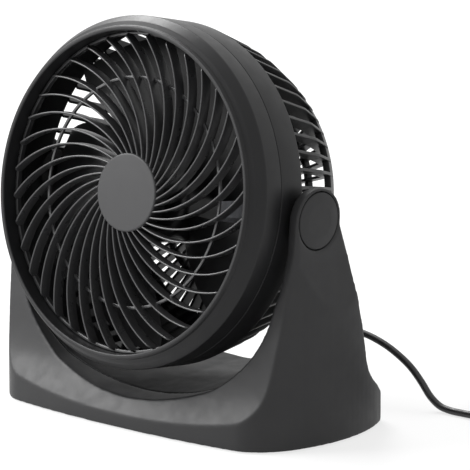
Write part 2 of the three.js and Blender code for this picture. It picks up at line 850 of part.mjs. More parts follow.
// stations along the housing's outer line; its inner line runs a wall or a fin's depth inside it
function housingStations() {
  const line = [
    { outer: [seamRadius, seamAhead - touchGap], depth: shellWall, band: true },
    { outer: [slotRadius, slotAhead], depth: shellWall, band: false },
    { outer: finMiddle, depth: finDepth, band: false },
    { outer: shoulderStart, depth: finDepth, band: true },
    { outer: shoulderEnd, depth: finDepth, band: false },
    { outer: backRingStart, depth: finDepth, band: true },
    { outer: backRingEnd, depth: finDepth, band: false },
    { outer: [collarOuterRadius, collarBack], depth: finDepth, band: true },
    { outer: [collarInnerRadius, collarBack], depth: collarFront - collarBack, band: false },
  ];
  const last = line.length - 1;
  return line.map(({ outer, depth, band }, i) => {
    const before = line[Math.max(i - 1, 0)].outer;
    const after = line[Math.min(i + 1, last)].outer;
    const run = new THREE.Vector2(after[0] - before[0], after[1] - before[1]).normalize();
    let inwards = [run.y, -run.x];
    if (i < 2) inwards = [-1, 0];
    if (i === last) inwards = [0, 1];
    const inner = [outer[0] + depth * inwards[0], outer[1] + depth * inwards[1]];
    return { outer, inner, band };
  });
}

// a pad on the drum's side with the stub that turns in the arm
const stubEnd = capSeat;

function buildRearHousing() {
  let housing = solid(finnedWall(housingStations(), finCount, finWidth, finPhase));
  for (const side of [1, -1]) {
    const pad = solid(pivotCylinder(pivotPadRadius, pivotPadInner, pivotPadFace, side, padSides));
    const stub = solid(pivotCylinder(pivotStubRadius, pivotPadInner, stubEnd, side, stubSides));
    const pilotRadius = pivotScrewRadius + touchGap;
    const pilotEnd = stubEnd + pivotWasherThickness - pivotScrewLength;
    const pilot = solid(pivotCylinder(pilotRadius, pilotEnd, stubEnd + past, side, boreSides));
    housing = joinAll(housing, pad, stub).subtract(pilot);
  }
  piece(head, "rear_housing", housing, headPlastic);
}

const lipInner = lipRadius - lipWidth;

function buildFrontRing() {
  const lipTop = [lipRadius - lipWidth / 2, lipAhead];
  const profile = [
    lipTop,
    [lipRadius + lipRound[0], lipAhead - lipRound[1]],
    [lipRadius + flareStart[0], lipAhead - flareStart[1]],
    [headRadius, creaseAhead],
    [seamRadius, seamAhead],
    [seamRadius - shellWall, seamAhead],
    [headRadius - shellWall, creaseAhead - lipRound[1]],
    [lipInner, grilleAhead + grilleRimProud - grilleRimDepth - touchGap],
    [lipInner, lipAhead - lipRound[1]],
    lipTop,
  ];
  piece(head, "front_ring", headLathe(profile, frontRingSides), headPlastic);
}

function ribOutline(phase, outerEnd) {
  const innerEnd = discRadius - ribRootInset;
  const middle = [];
  for (let i = 0; i <= ribSteps; i++) {
    const radius = outerEnd * (innerEnd / outerEnd) ** (i / ribSteps);
    const reach = (radius ** 2 + ribArcOffset ** 2 - ribArcRadius ** 2) / (2 * ribArcOffset * radius);
    const angle = THREE.MathUtils.degToRad(phase) - Math.acos(reach);
    middle.push(new THREE.Vector2(radius * Math.cos(angle), radius * Math.sin(angle)));
  }
  const side = (sign) =>
    middle.map((point, i) => {
      const before = middle[Math.max(i - 1, 0)];
      const along = middle[Math.min(i + 1, ribSteps)].clone().sub(before).normalize();
      return new THREE.Vector2(-along.y, along.x).multiplyScalar((sign * ribThickness) / 2).add(point);
    });
  return [...side(1), ...side(-1).reverse()];
}

function buildFrontGrille() {
  const rimRadius = lipInner - grilleRimClearance;
  const discFront = grilleAhead + discProud;
  const disc = [
    [0, discFront],
    [discRadius - discEdge, discFront],
    [discRadius, discFront - discEdge],
    [discRadius, discFront - discDepth],
    [discRadius - shellWall, discFront - discDepth],
    [discRadius - shellWall, discFront - shellWall],
    [0, discFront - shellWall],
  ];
  const ribs = [];
  for (let i = 0; i < ribCount; i++) {
    const outline = ribOutline(ribPhase + (360 * i) / ribCount, rimRadius - grilleRimWidth / 2);
    const rib = extruded(outline, ribDepth).rotateX(Math.PI / 2);
    ribs.push(solid(rib.translate(0, ribDepth - grilleAhead, 0)));
  }
  const rimFront = grilleAhead + grilleRimProud;
  const rimBack = rimFront - grilleRimDepth;
  const rim = headTube(rimRadius, rimRadius - grilleRimWidth, rimFront, rimBack, ribCount);
  const crossFront = grilleAhead - crossRingBehind;
  const crossBack = crossFront - crossRingDepth;
  const crossOuter = crossRingRadius + crossRingWidth / 2;
  const cross = headTube(crossOuter, crossOuter - crossRingWidth, crossFront, crossBack, ribCount);
  const coreFront = discFront + beyond;
  const core = headRod(discRadius - shellWall / 2, coreFront, discFront - 2 * beyond, discSides);
  const ribSet = joinAll(solid(rim), solid(cross), ...ribs).subtract(solid(core));
  piece(head, "front_grille", ribSet.add(solid(headLathe(disc, discSides))), grillePlastic);
}

function buildRingClip(name, degrees) {
  const outer = seamRadius - shellWall - clipRoom;
  const front = -seamAhead - clipLength / 2;
  const rise = clipWidth / 2;
  const clip = box(outer - clipThickness, outer, front, front + clipLength, -rise, rise);
  clip.rotateY(-THREE.MathUtils.degToRad(degrees));
  piece(head, `ring_clip_${name}`, clip, headPlastic);
}

// ---------------------------------------------------------------- head: motor
const plateFront = motorPlateAhead + motorPlateThickness;
const rearBracketBack = plateFront + touchGap;
const statorBack = rearBracketBack + bracketThickness + windingOverhang;
const statorFront = statorBack + statorLength;
const frontBracketFront = statorFront + windingOverhang + bracketThickness;

function motorScrewPlaces() {
  return [45, 135, 225, 315].map((degrees) => {
    const angle = THREE.MathUtils.degToRad(degrees);
    return [motorScrewCircle * Math.cos(angle), motorScrewCircle * Math.sin(angle)];
  });
}

function motorScrewHoles(front, back) {
  const radius = screwShankRadius + touchGap;
  const hole = () => headRod(radius, front, back, boreSides);
  return motorScrewPlaces().map(([x, z]) => solid(hole().translate(x, 0, z)));
}

function buildMotor() {
  const holes = motorScrewHoles(plateFront + past, motorPlateAhead - past);
  const plateRadius = collarInnerRadius - touchGap;
  const plate = headTube(plateRadius, motorPlateBore, plateFront, motorPlateAhead, shaftSides);
  piece(head, "motor_plate", cutAll(solid(plate), ...holes), headPlastic);

  const stator = headTube(statorRadius, statorBore, statorFront, statorBack, shaftSides);
  piece(head, "motor_stator", stator, motorSteel);
  const reach = windingOverhang - touchGap;
  const winding = (front, back) =>
    headTube(windingRadius, statorBore + windingBoreRoom, front, back, windingSides);
  const rearWinding = winding(statorBack - touchGap, statorBack - reach);
  piece(head, "motor_winding_rear", rearWinding, windingCopper);
  const frontWinding = winding(statorFront + reach, statorFront + touchGap);
  piece(head, "motor_winding_front", frontWinding, windingCopper);

  const rearCup = bearingBracket(rearBracketBack, statorBack, 1);
  const bracketInside = rearBracketBack + bracketThickness;
  const bracketHoles = motorScrewHoles(bracketInside + past, rearBracketBack - past);
  piece(head, "motor_rear_bracket", cutAll(rearCup, ...bracketHoles), motorSteel);
  const frontCup = bearingBracket(frontBracketFront, statorFront, -1);
  piece(head, "motor_front_bracket", frontCup, motorSteel);

  const bearing = (middle) => {
    const half = bearingLength / 2;
    return headTube(bearingRadius, shaftRadius + bearingPlay, middle + half, middle - half, shaftSides);
  };
  piece(head, "rear_bearing", bearing(rearBracketBack + bracketThickness / 2), bearingBronze);
  piece(head, "front_bearing", bearing(frontBracketFront - bracketThickness / 2), bearingBronze);

  const length = motorPlateThickness + touchGap + bracketThickness;
  motorScrewPlaces().forEach(([x, z], i) => {
    const fastener = smallScrew(length).translate(x, touchGap - motorPlateAhead, z);
    piece(head, `motor_screw_${i + 1}`, fastener, screwSteel);
  });
}

// a dished plate with a hole for the bearing and a skirt that reaches the stator; forward is 1 or -1
function bearingBracket(face, statorEnd, forward) {
  const bearingHole = bearingRadius + bearingFit;
  const inside = face + forward * bracketThickness;
  const end = statorEnd - forward * touchGap;
  const profile = [
    [bearingHole, face],
    [statorRadius, face],
    [statorRadius, end],
    [statorRadius - bracketThickness, end],
    [statorRadius - bracketThickness, inside],
    [bearingHole, inside],
    [bearingHole, face],
  ];
  return solid(headLathe(profile, shaftSides));
}

// ---------------------------------------------------------------- head: shaft, blade and nut
function buildShaft() {
  const rotorMiddle = (statorFront + statorBack) / 2;
  const rotorFront = rotorMiddle + rotorLength / 2;
  const rotorBack = rotorMiddle - rotorLength / 2;
  const rotorRadius = statorBore - rotorGap;
  const shaftBack = rearBracketBack + (bracketThickness - bearingLength) / 2;
  const profile = [
    [0, hubFront + nutLength / 2],
    [shaftRadius, hubFront + nutLength / 2],
    [shaftRadius, rotorFront],
    [rotorRadius, rotorFront],
    [rotorRadius, rotorBack],
    [shaftRadius, rotorBack],
    [shaftRadius, shaftBack],
    [0, shaftBack],
  ];
  piece(head, "rotor_shaft", headLathe(profile, shaftSides), motorSteel);
}

// one blade: a twisted sheet from the hub to the tip
function bladeGeometry(phase) {
  const root = hubRadius - hubWall / 2;
  return sheetSolid(bladeAlongSteps, bladeChordSteps, (face, i, j) => {
    const share = i / bladeAlongSteps;
    const chord = (2 * j) / bladeChordSteps - 1;
    const radius = root + (bladeTipRadius - root) * share;
    const depth = bladeDepth * (1 - bladeTaper * share);
    const halfSpan = (bladeSpan / 2) * (1 - bladeRounding * share ** 6);
    const angle = THREE.MathUtils.degToRad(phase + bladeSweep * share + halfSpan * chord);
    const ahead = bladeMiddle + (depth / 2) * chord - bladeCamber * (1 - chord * chord);
    const y = -ahead + (face - 0.5) * bladeThickness;
    return new THREE.Vector3(radius * Math.cos(angle), y, radius * Math.sin(angle));
  });
}

function buildBlade() {
  const bore = shaftRadius + hubFit;
  const boss = bore + hubBoreWall;
  const profile = [
    [bore, hubFront],
    [hubRadius - hubBevel, hubFront],
    [hubRadius, hubFront - hubBevel],
    [hubRadius, hubBack],
    [hubRadius - hubWall, hubBack],
    [hubRadius - hubWall, hubFront - hubBevel - 1],
    [hubRadius - hubBevel - 1, hubFront - hubWall],
    [boss, hubFront - hubWall],
    [boss, hubFront - hubBoreLength],
    [bore, hubFront - hubBoreLength],
    [bore, hubFront],
  ];
  const inside = solid(headRod(hubRadius - hubWall / 2, hubFront, hubBack, shaftSides));
  let blades = solid(bladeGeometry(bladePhase));
  for (let i = 1; i < bladeCount; i++) {
    blades = blades.add(solid(bladeGeometry(bladePhase + (360 * i) / bladeCount)));
  }
  const blade = solid(headLathe(profile, shaftSides)).add(blades.subtract(inside));
  piece(head, "fan_blade", blade, moulded(0x2b2b2c, 0.45));
}

function buildNut() {
  const back = hubFront + touchGap;
  const front = back + nutLength;
  const bore = shaftRadius + hubFit;
  const boreEnd = hubFront + nutLength / 2 + touchGap;
  const profile = [
    [0, front],
    [nutRadius - nutBevel, front],
    [nutRadius, front - nutBevel],
    [nutRadius, back],
    [bore, back],
    [bore, boreEnd],
    [0, boreEnd],
  ];
  piece(head, "hub_nut", headLathe(profile, shaftSides), moulded(0x202021, 0.5));
}

// ---------------------------------------------------------------- head: cover, switch, knob and relief
const coverFront = collarBack - touchGap;

function buildCover() {
  const bore = stemRadius + 2 * touchGap;
  const wall = coverRadius - shellWall;
  const inside = coverBack + shellWall;
  const profile = [
    [bore, coverBack],
    [coverRadius - coverBevel, coverBack],
    [coverRadius, coverBack + coverBevel / 2],
    [coverRadius, coverFront],
    [wall, coverFront],
    [wall, inside + coverBevel / 4],
    [wall - coverBevel / 2, inside],
    [bore, inside],
    [bore, coverBack],
  ];
  piece(head, "motor_cover", headLathe(profile, coverSides), headPlastic);
}

// the switch stands on the cover's inner face, and the knob's stem drops into its well
const switchBack = coverBack + shellWall + touchGap;
const knobFront = coverBack - touchGap;

function buildSwitch() {
  const half = switchWidth / 2;
  const rise = switchHeight / 2;
  const housing = solid(box(-half, half, -switchBack - switchDepth, -switchBack, -rise, rise));
  const wellEnd = switchBack + stemReach + past;
  const well = solid(headRod(stemRadius + touchGap, wellEnd, switchBack - past, stemSides));
  piece(head, "speed_switch", housing.subtract(well), moulded(0xd8d5cc, 0.6));
}

function buildKnob() {
  const back = knobFront - knobLength;
  const skirt = [];
  const steps = knobRibs * 4;
  for (let i = 0; i < steps; i++) {
    const angle = (2 * Math.PI * i) / steps;
    const radius = knobRadius - (i % 4 < 2 ? 0 : knobRibDepth);
    skirt.push(new THREE.Vector2(radius * Math.cos(angle), radius * Math.sin(angle)));
  }
  const grip = extruded(skirt, knobLength).rotateX(Math.PI / 2).translate(0, -back, 0);
  const stem = headRod(stemRadius, switchBack + stemReach, knobFront - past, stemSides);
  const half = pointerWidth / 2;
  const pointerEnd = knobRadius - pointerInset;
  const slot = box(-half, half, -back - pointerDepth, -back + past, pointerEnd - pointerLength, pointerEnd);
  const knob = solid(grip).add(solid(stem)).subtract(solid(slot));
  piece(head, "speed_knob", knob, moulded(0x262627, 0.5));
}

// where the cord leaves its relief, in the head's own frame
const reliefTurn = THREE.MathUtils.degToRad(cordStartAngle - headTilt);
const reliefHeading = new THREE.Vector3(0, Math.cos(reliefTurn), -Math.sin(reliefTurn));
const reliefEnd = reliefHeading.clone().multiplyScalar(cordStartRadius);

function buildRelief() {
  const root = new THREE.Vector3(0, -(coverFront + coverBack) / 2, -coverRadius - touchGap);
  const points = [
    root,
    root.clone().add(new THREE.Vector3(0, reliefRootDrift, -reliefRootLength)),
    reliefEnd.clone().addScaledVector(reliefHeading, -reliefTipLength),
    reliefEnd,
  ];
  const curve = new THREE.CatmullRomCurve3(points);
  const frames = curve.computeFrenetFrames(reliefSteps, false);
  const ringAt = (i) => {
    const share = i / reliefSteps;
    const radius = THREE.MathUtils.lerp(reliefRootRadius, reliefTipRadius, share);
    const ring = [];
    for (let j = 0; j < reliefSides; j++) {
      const angle = (2 * Math.PI * j) / reliefSides;
      const across = frames.normals[i].clone().multiplyScalar(radius * Math.cos(angle));
      const up = frames.binormals[i].clone().multiplyScalar(radius * Math.sin(angle));
      ring.push(curve.getPointAt(share).add(across).add(up));
    }
    return ring;
  };
  piece(head, "strain_relief", skinned(reliefSteps + 1, ringAt), cordVinyl);
}

// ---------------------------------------------------------------- pivots
function buildPivotHardware(side, name) {
  const middle = (saddleHalfWidth + pivotPadFace) / 2;
  const half = (saddleHalfWidth - pivotPadFace) / 2 - touchGap;
  const disc = pivotCylinder(frictionWasherRadius, middle - half, middle + half, side);
  const holeRadius = pivotStubRadius + pivotClearance;
  const hole = pivotCylinder(holeRadius, middle - half - past, middle + half + past, side);
  piece(head, `friction_washer_${name}`, solid(disc).subtract(solid(hole)), moulded(0xc9c4b4, 0.6));

  const washerStart = capSeat + touchGap;
  const washerEnd = washerStart + pivotWasherThickness;
  const washer = pivotCylinder(pivotWasherRadius, washerStart, washerEnd, side);
  const screwRoom = pivotScrewRadius + touchGap;
  const washerHole = pivotCylinder(screwRoom, washerStart - past, washerEnd + past, side, boreSides);
  piece(head, `pivot_washer_${name}`, solid(washer).subtract(solid(washerHole)), screwSteel);

  const headSize = [pivotScrewHead, pivotScrewHeadHeight];
  const fastener = screw(...headSize, pivotScrewRadius, pivotScrewLength, boreSides);
  fastener.rotateZ((-side * Math.PI) / 2).translate(side * (washerEnd + touchGap), 0, 0);
  piece(head, `pivot_screw_${name}`, fastener, screwSteel);
}

// ---------------------------------------------------------------- cord
function circleShape(radius, sides) {
  const points = [];
  for (let j = 0; j < sides; j++) {
    const angle = (2 * Math.PI * j) / sides;
    points.push(new THREE.Vector2(radius * Math.cos(angle), radius * Math.sin(angle)));
  }
  return new THREE.Shape(points);
}

function cordTube(points, sides, steps) {
  const extrudePath = new THREE.CatmullRomCurve3(points);
  return new THREE.ExtrudeGeometry(circleShape(cordDiameter / 2, sides), { extrudePath, steps });
}

const tieFloor = tieThickness + tieClearance; // the coil lies on its tie
const coilFloor = tieFloor + cordDiameter / 2;
const coilOuterRadius = coilInnerRadius + coilTurns * coilPitch;
const coilCentreY = cordRoute.at(-1)[1] + coilOuterRadius;
const coilStartX = coilCentreX - cordDiameter;
const coilTopHeight = coilFloor + coilPitch;

function buildCordLead() {
  const angle = THREE.MathUtils.degToRad(cordStartAngle);
  const heading = new THREE.Vector3(0, Math.cos(angle), -Math.sin(angle));
  const pivot = new THREE.Vector3(0, -pivotAhead, pivotHeight);
  const start = pivot.addScaledVector(heading, cordStartRadius + touchGap);
  const end = new THREE.Vector3(coilStartX - touchGap, cordRoute.at(-1)[1], coilFloor);
  const beforeEnd = end.clone().add(new THREE.Vector3(-cordDiameter, 0, 0));
  const middle = cordRoute.map((point) => new THREE.Vector3(...point));
  const points = [start, ...middle, beforeEnd, end];
  piece(base, "cord_lead", cordTube(points, leadSides, leadSteps), cordVinyl);
}

// the coil spirals in on the lower layer, climbs where it turns back, and spirals out on the upper one
function coilPoint(turns) {
  const angle = 2 * Math.PI * turns - Math.PI / 2;
  const radius = coilInnerRadius + coilPitch * Math.abs(coilTurns - turns);
  const climb = THREE.MathUtils.clamp(2 * (turns - coilTurns) + 0.5, 0, 1);
  const height = coilFloor + coilPitch * THREE.MathUtils.smoothstep(climb, 0, 1);
  return new THREE.Vector3(
    coilCentreX + radius * Math.cos(angle),
    coilCentreY + radius * Math.sin(angle),
    height,
  );
}

function coilPoints() {
  const count = 2 * coilTurns * coilSteps;
  const points = [];
  for (let i = 0; i <= count; i++) points.push(coilPoint(i / coilSteps));
  const before = new THREE.Vector3(coilStartX, points[0].y, coilFloor);
  const after = points.at(-1).clone().add(new THREE.Vector3(plugGap, 0, 0));
  return [before, ...points, after];
}

function leastGapToItself(points) {
  let least = Infinity;
  const along = [0];
  for (let i = 1; i < points.length; i++) {
    along.push(along[i - 1] + points[i].distanceTo(points[i - 1]));
  }
  for (let i = 0; i < points.length; i++) {
    for (let j = i + 1; j < points.length; j++) {
      if (along[j] - along[i] < 4 * cordDiameter) continue;
      least = Math.min(least, points[i].distanceTo(points[j]) - cordDiameter);
    }
  }
  return least;
}

function buildCordCoil() {
  const points = coilPoints();
  const curve = new THREE.CatmullRomCurve3(points);
  const length = curve.getLength();
  const gap = leastGapToItself(curve.getSpacedPoints(Math.round(length)));
  console.log(`cord_coil length ${length.toFixed(0)} mm, gap to itself ${gap.toFixed(2)} mm`);
  const steps = 2 * coilTurns * coilSteps + leadSides / 2;
  piece(base, "cord_coil", cordTube(points, coilSides, steps), cordVinyl);
}

// a flat band that goes round the bundle of turns at one place
function buildCordTie() {
  const reach = cordDiameter / 2 + tieClearance;
  const near = coilInnerRadius + coilPitch / 2 - reach;
  const far = coilOuterRadius - coilPitch / 2 + reach;
  const low = coilFloor - reach;
  const high = coilTopHeight + reach;
  const loop = (grow, half) => solid(box(near - grow, far + grow, -half, half, low - grow, high + grow));
  const half = tieWidth / 2;
  const band = geometryOf(loop(tieThickness, half).subtract(loop(0, half + past)));
  band.rotateZ(THREE.MathUtils.degToRad(tieAngle)).translate(coilCentreX, coilCentreY, 0);
  piece(base, "cord_tie", band, rubber);
}

function buildPlug() {
  const startX = coilPoints().at(-1).x + touchGap;
  const y = cordRoute.at(-1)[1];
  const ringAt = (i) => {
    const [along, halfWidth, halfHeight] = plugStations[i];
    const ring = [];
    for (let j = 0; j < plugSides; j++) {
      const angle = (2 * Math.PI * (j + 0.5)) / plugSides;
      const across = halfWidth * Math.cos(angle);
      const up = halfHeight * Math.sin(angle);
      ring.push(new THREE.Vector3(startX + along, y + across, coilTopHeight + up));
    }
    return ring;
  };
  const frontX = startX + plugLength;
  const blades = [-1, 1].map((side) => {
    const middle = y + (side * plugBladeSpacing) / 2;
    const blade = (gap) =>
      box(
        frontX - plugBladeInset - gap, frontX + plugBladeLength,
        middle - plugBladeThickness / 2 - gap, middle + plugBladeThickness / 2 + gap,
        coilTopHeight - plugBladeWidth / 2 - gap, coilTopHeight + plugBladeWidth / 2 + gap,
      );
    return { name: side < 0 ? "plug_blade_left" : "plug_blade_right", blade };
  });
  const slots = blades.map(({ blade }) => solid(blade(touchGap)));
  const body = solid(skinned(plugStations.length, ringAt));
  piece(base, "plug_body", cutAll(body, ...slots), cordVinyl);
  blades.forEach(({ name, blade }) => piece(base, name, blade(0), metal(0xb9a36a, 0.3)));
}

buildBase();
buildPivotCap(-1, "pivot_cap_left");
buildPivotCap(1, "pivot_cap_right");
buildFrontRing();
buildFrontGrille();
buildRearHousing();
clipPlaces.forEach(([name, degrees]) => buildRingClip(name, degrees));
buildMotor();
buildShaft();
buildBlade();
buildNut();
buildCover();
buildSwitch();
buildKnob();
buildRelief();
buildPivotHardware(-1, "left");
buildPivotHardware(1, "right");
buildCordLead();
buildCordCoil();
buildCordTie();
buildPlug();

export default fan;
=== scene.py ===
"""Looks of the air circulator fan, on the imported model's frame.

Sizes are in millimetres until one function, mesh_object, turns them to the frame's metres. The cord's
route and the camera are in metres. Points on the head are (x, behind, up) in the head's own frame:
behind is along the head's axis from the pivots, so the front of the head has negative values.
"""
import math

import bmesh
import bpy
from mathutils import Matrix, Vector


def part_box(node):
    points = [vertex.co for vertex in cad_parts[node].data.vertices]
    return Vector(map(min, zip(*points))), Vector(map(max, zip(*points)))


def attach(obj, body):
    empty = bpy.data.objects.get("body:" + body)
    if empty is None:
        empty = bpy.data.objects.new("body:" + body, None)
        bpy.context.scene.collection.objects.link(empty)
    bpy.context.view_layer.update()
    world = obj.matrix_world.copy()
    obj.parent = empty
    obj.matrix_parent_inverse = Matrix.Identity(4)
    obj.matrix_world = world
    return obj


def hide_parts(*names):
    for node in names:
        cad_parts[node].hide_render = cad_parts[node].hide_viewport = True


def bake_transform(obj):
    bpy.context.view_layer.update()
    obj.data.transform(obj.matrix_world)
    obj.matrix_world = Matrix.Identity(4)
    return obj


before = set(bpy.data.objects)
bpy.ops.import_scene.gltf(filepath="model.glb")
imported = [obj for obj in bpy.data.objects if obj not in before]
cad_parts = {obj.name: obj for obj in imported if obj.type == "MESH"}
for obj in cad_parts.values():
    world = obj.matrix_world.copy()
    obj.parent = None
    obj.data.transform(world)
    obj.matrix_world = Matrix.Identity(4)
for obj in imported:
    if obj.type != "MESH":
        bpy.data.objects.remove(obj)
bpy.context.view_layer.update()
MM = 0.001
TOUCH_GAP = 0.3  # left between two pieces that touch
WALL = 2.4  # wall of every moulded shell

# ------------------------------------------------------------------ camera, as in the photograph
VIEW_TARGET = Vector((0.0644, -0.0172, 0.1374))
VIEW_AZIMUTH = math.radians(42.01)
VIEW_ELEVATION = math.radians(12.75)
VIEW_DISTANCE = 3.53
VIEW_LENS = 399


def towards(azimuth, elevation):
    """The unit vector from the object to a place seen at that azimuth and elevation."""
    level = math.cos(elevation)
    return Vector((math.sin(azimuth) * level, -math.cos(azimuth) * level, math.sin(elevation)))


def place_camera():
    camera = bpy.data.objects.new("camera", bpy.data.cameras.new("camera"))
    bpy.context.scene.collection.objects.link(camera)
    back = towards(VIEW_AZIMUTH, VIEW_ELEVATION)
    camera.location = VIEW_TARGET + back * VIEW_DISTANCE
    camera.rotation_euler = (-back).to_track_quat("-Z", "Y").to_euler()
    camera.data.lens = VIEW_LENS
    camera.data.clip_end = 20
    bpy.context.scene.camera = camera


# ------------------------------------------------------------------ the head's own frame
HEAD_TILT = math.radians(9.69)
PIVOT_AHEAD = 7.3
PIVOT_HEIGHT = 155.5
PIVOT = Vector((0, -PIVOT_AHEAD, PIVOT_HEIGHT))
HEAD = Matrix.Translation(PIVOT) @ Matrix.Rotation(-HEAD_TILT, 4, "X")
AT_PIVOT = Matrix.Translation(PIVOT)
LEVEL = Matrix.Identity(4)


# ------------------------------------------------------------------ shapes: (points, faces) pairs
def skin(rings, loop=False, closed=True, caps=False):
    """Faces between rings of as many points each; loop joins the last ring to the first."""
    count = len(rings[0])
    faces = []
    for i in range(len(rings) if loop else len(rings) - 1):
        k = (i + 1) % len(rings)
        for j in range(count if closed else count - 1):
            m = (j + 1) % count
            faces.append((i * count + j, i * count + m, k * count + m, k * count + j))
    if caps:
        faces.append(tuple(reversed(range(count))))
        faces.append(tuple(range((len(rings) - 1) * count, len(rings) * count)))
    return [Vector(point) for ring in rings for point in ring], faces


def joined(*shapes):
    points, faces = [], []
    for more_points, more_faces in shapes:
        start = len(points)
        points += more_points
        faces += [tuple(start + i for i in face) for face in more_faces]
    return points, faces


def moved(shape, matrix):
    points, faces = shape
    return [matrix @ point for point in points], faces


def repeated(shape, count, axis):
    """The shape, turned count times about an axis of its frame."""
    turns = (Matrix.Rotation(math.tau * i / count, 4, axis) for i in range(count))
    return joined(*(moved(shape, turn) for turn in turns))


def curve_through(start, bend, end, steps):
    """Points on the quadratic curve from start to end that bend pulls on."""
    shares = [i / steps for i in range(steps + 1)]
    return [start * (1 - t) ** 2 + bend * 2 * t * (1 - t) + end * t * t for t in shares]


def rounded(corners, closed=True, steps=4):
    """An outline of (u, v, corner radius) rows with its corners rounded."""
    outline = []
    count = len(corners)
    for i, (u, v, radius) in enumerate(corners):
        here = Vector((u, v))
        if radius == 0 or (not closed and i in (0, count - 1)):
            outline.append(here)
            continue
        before = Vector(corners[i - 1][:2]) - here
        after = Vector(corners[(i + 1) % count][:2]) - here
        half = before.angle(after) / 2
        reach = min(radius / math.tan(half), 0.49 * before.length, 0.49 * after.length)
        first = here + before.normalized() * reach
        last = here + after.normalized() * reach
        outline += curve_through(first, here, last, steps)
    return outline


def smooth_line(points, steps):
    """A curve through all the points, with as many steps between each two."""
    points = [Vector(point) for point in points]
    ends = [2 * points[0] - points[1], *points, 2 * points[-1] - points[-2]]
    line = []
    for i in range(1, len(ends) - 2):
        p0, p1, p2, p3 = ends[i - 1 : i + 3]
        t1 = (p1 - p0).length ** 0.5
        t2 = t1 + (p2 - p1).length ** 0.5
        t3 = t2 + (p3 - p2).length ** 0.5
        for step in range(steps):
            t = t1 + (t2 - t1) * step / steps
            a1 = p0 * ((t1 - t) / t1) + p1 * (t / t1)
            a2 = p1 * ((t2 - t) / (t2 - t1)) + p2 * ((t - t1) / (t2 - t1))
            a3 = p2 * ((t3 - t) / (t3 - t2)) + p3 * ((t - t2) / (t3 - t2))
            b1 = a1 * ((t2 - t) / t2) + a2 * (t / t2)
            b2 = a2 * ((t3 - t) / (t3 - t1)) + a3 * ((t - t1) / (t3 - t1))
            line.append(b1 * ((t2 - t) / (t2 - t1)) + b2 * ((t - t1) / (t2 - t1)))
    return [*line, points[-1]]


def inset(outline, distance):
    """A closed anticlockwise outline moved inwards by a distance."""
    result = []
    for i, point in enumerate(outline):
        first = (point - outline[i - 1]).normalized()
        second = (outline[(i + 1) % len(outline)] - point).normalized()
        normal = Vector((-first.y - second.y, first.x + second.x)).normalized()
        shorten = max(0.4, normal.dot(Vector((-first.y, first.x))))
        result.append(point + normal * (distance / shorten))
    return result


def turned(profile, steps=144, closed=True):
    """A turned shape about the head's axis from (radius, ahead) points."""
    rings = []
    for i in range(steps):
        angle = math.tau * i / steps
        rings.append([(r * math.cos(angle), -ahead, r * math.sin(angle)) for r, ahead in profile])
    return skin(rings, loop=True, closed=closed)


def upright_turned(profile, steps=48):
    """A turned shape about +Z from (radius, height) points that start and end on the axis."""
    rings = []
    for i in range(steps):
        angle = math.tau * i / steps
        rings.append([(r * math.cos(angle), r * math.sin(angle), height) for r, height in profile])
    return skin(rings, loop=True, closed=False)


def prism(outline, low, high, axis):
    """A closed outline extruded along X, Y or Z; it is (y, z), (x, z) or (x, y) points."""
    place = {
        "X": lambda u, v, w: (w, u, v),
        "Y": lambda u, v, w: (u, w, v),
        "Z": lambda u, v, w: (u, v, w),
    }[axis]
    return skin([[place(u, v, w) for u, v in outline] for w in (low, high)], caps=True)


def block(x0, x1, y0, y1, z0, z1):
    return prism([(x0, y0), (x1, y0), (x1, y1), (x0, y1)], z0, z1, "Z")


def swept(path, section_at, up=Vector((1, 0, 0)), caps=True):
    """A section of (across, over) points carried along a path; section_at takes the share done."""
    rings = []
    last = len(path) - 1
    across = up
    for i, point in enumerate(path):
        along = (path[min(i + 1, last)] - path[max(i - 1, 0)]).normalized()
        across = (across - along * across.dot(along)).normalized()
        over = along.cross(across)
        rings.append([point + across * u + over * v for u, v in section_at(i / last)])
    return skin(rings, caps=caps)


def circle(radius, sides=16):
    turns = [math.tau * i / sides for i in range(sides)]
    return [(radius * math.cos(turn), radius * math.sin(turn)) for turn in turns]


def mesh_object(name, shape, matrix=LEVEL):
    """An object in the row frame, in metres, with its doubled points merged and its faces outwards."""
    points, faces = shape
    mesh = bpy.data.meshes.new(name)
    mesh.from_pydata([(matrix @ point) * MM for point in points], [], faces)
    work = bmesh.new()
    work.from_mesh(mesh)
    bmesh.ops.remove_doubles(work, verts=work.verts, dist=0.001 * MM)
    bmesh.ops.recalc_face_normals(work, faces=work.faces)
    work.to_mesh(mesh)
    work.free()
    piece = bpy.data.objects.new(name, mesh)
    bpy.context.scene.collection.objects.link(piece)
    return piece


def settle(piece):
    """Applies the piece's modifiers to its mesh."""
    shown = piece.evaluated_get(bpy.context.evaluated_depsgraph_get())
    mesh = bpy.data.meshes.new_from_object(shown)
    piece.modifiers.clear()
    piece.data = mesh
    return piece


def combined(first, operation, *others):
    """The first object joined with, cut by or kept inside the others, which are used up."""
    for other in others:
        step = first.modifiers.new("combine", "BOOLEAN")
        step.operation = operation
        step.object = other
        settle(first)
        bpy.data.objects.remove(other)
    return first


def finished(piece, body, material, replaces=(), sharp=35):
    """Shades the piece smoothly up to an angle, and gives it its material and its body."""
    piece.data.materials.clear()
    piece.data.materials.append(material)
    piece.data.shade_smooth()
    piece.data.set_sharp_from_angle(angle=math.radians(sharp))
    if body:
        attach(piece, body)
    if replaces:
        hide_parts(*replaces)
    return piece


# ------------------------------------------------------------------ materials
def colour(hexadecimal):
    """Linear RGBA from an sRGB hex value."""
    channels = [int(hexadecimal[i : i + 2], 16) / 255 for i in (1, 3, 5)]
    linear = [c / 12.92 if c <= 0.04045 else ((c + 0.055) / 1.055) ** 2.4 for c in channels]
    return (*linear, 1)


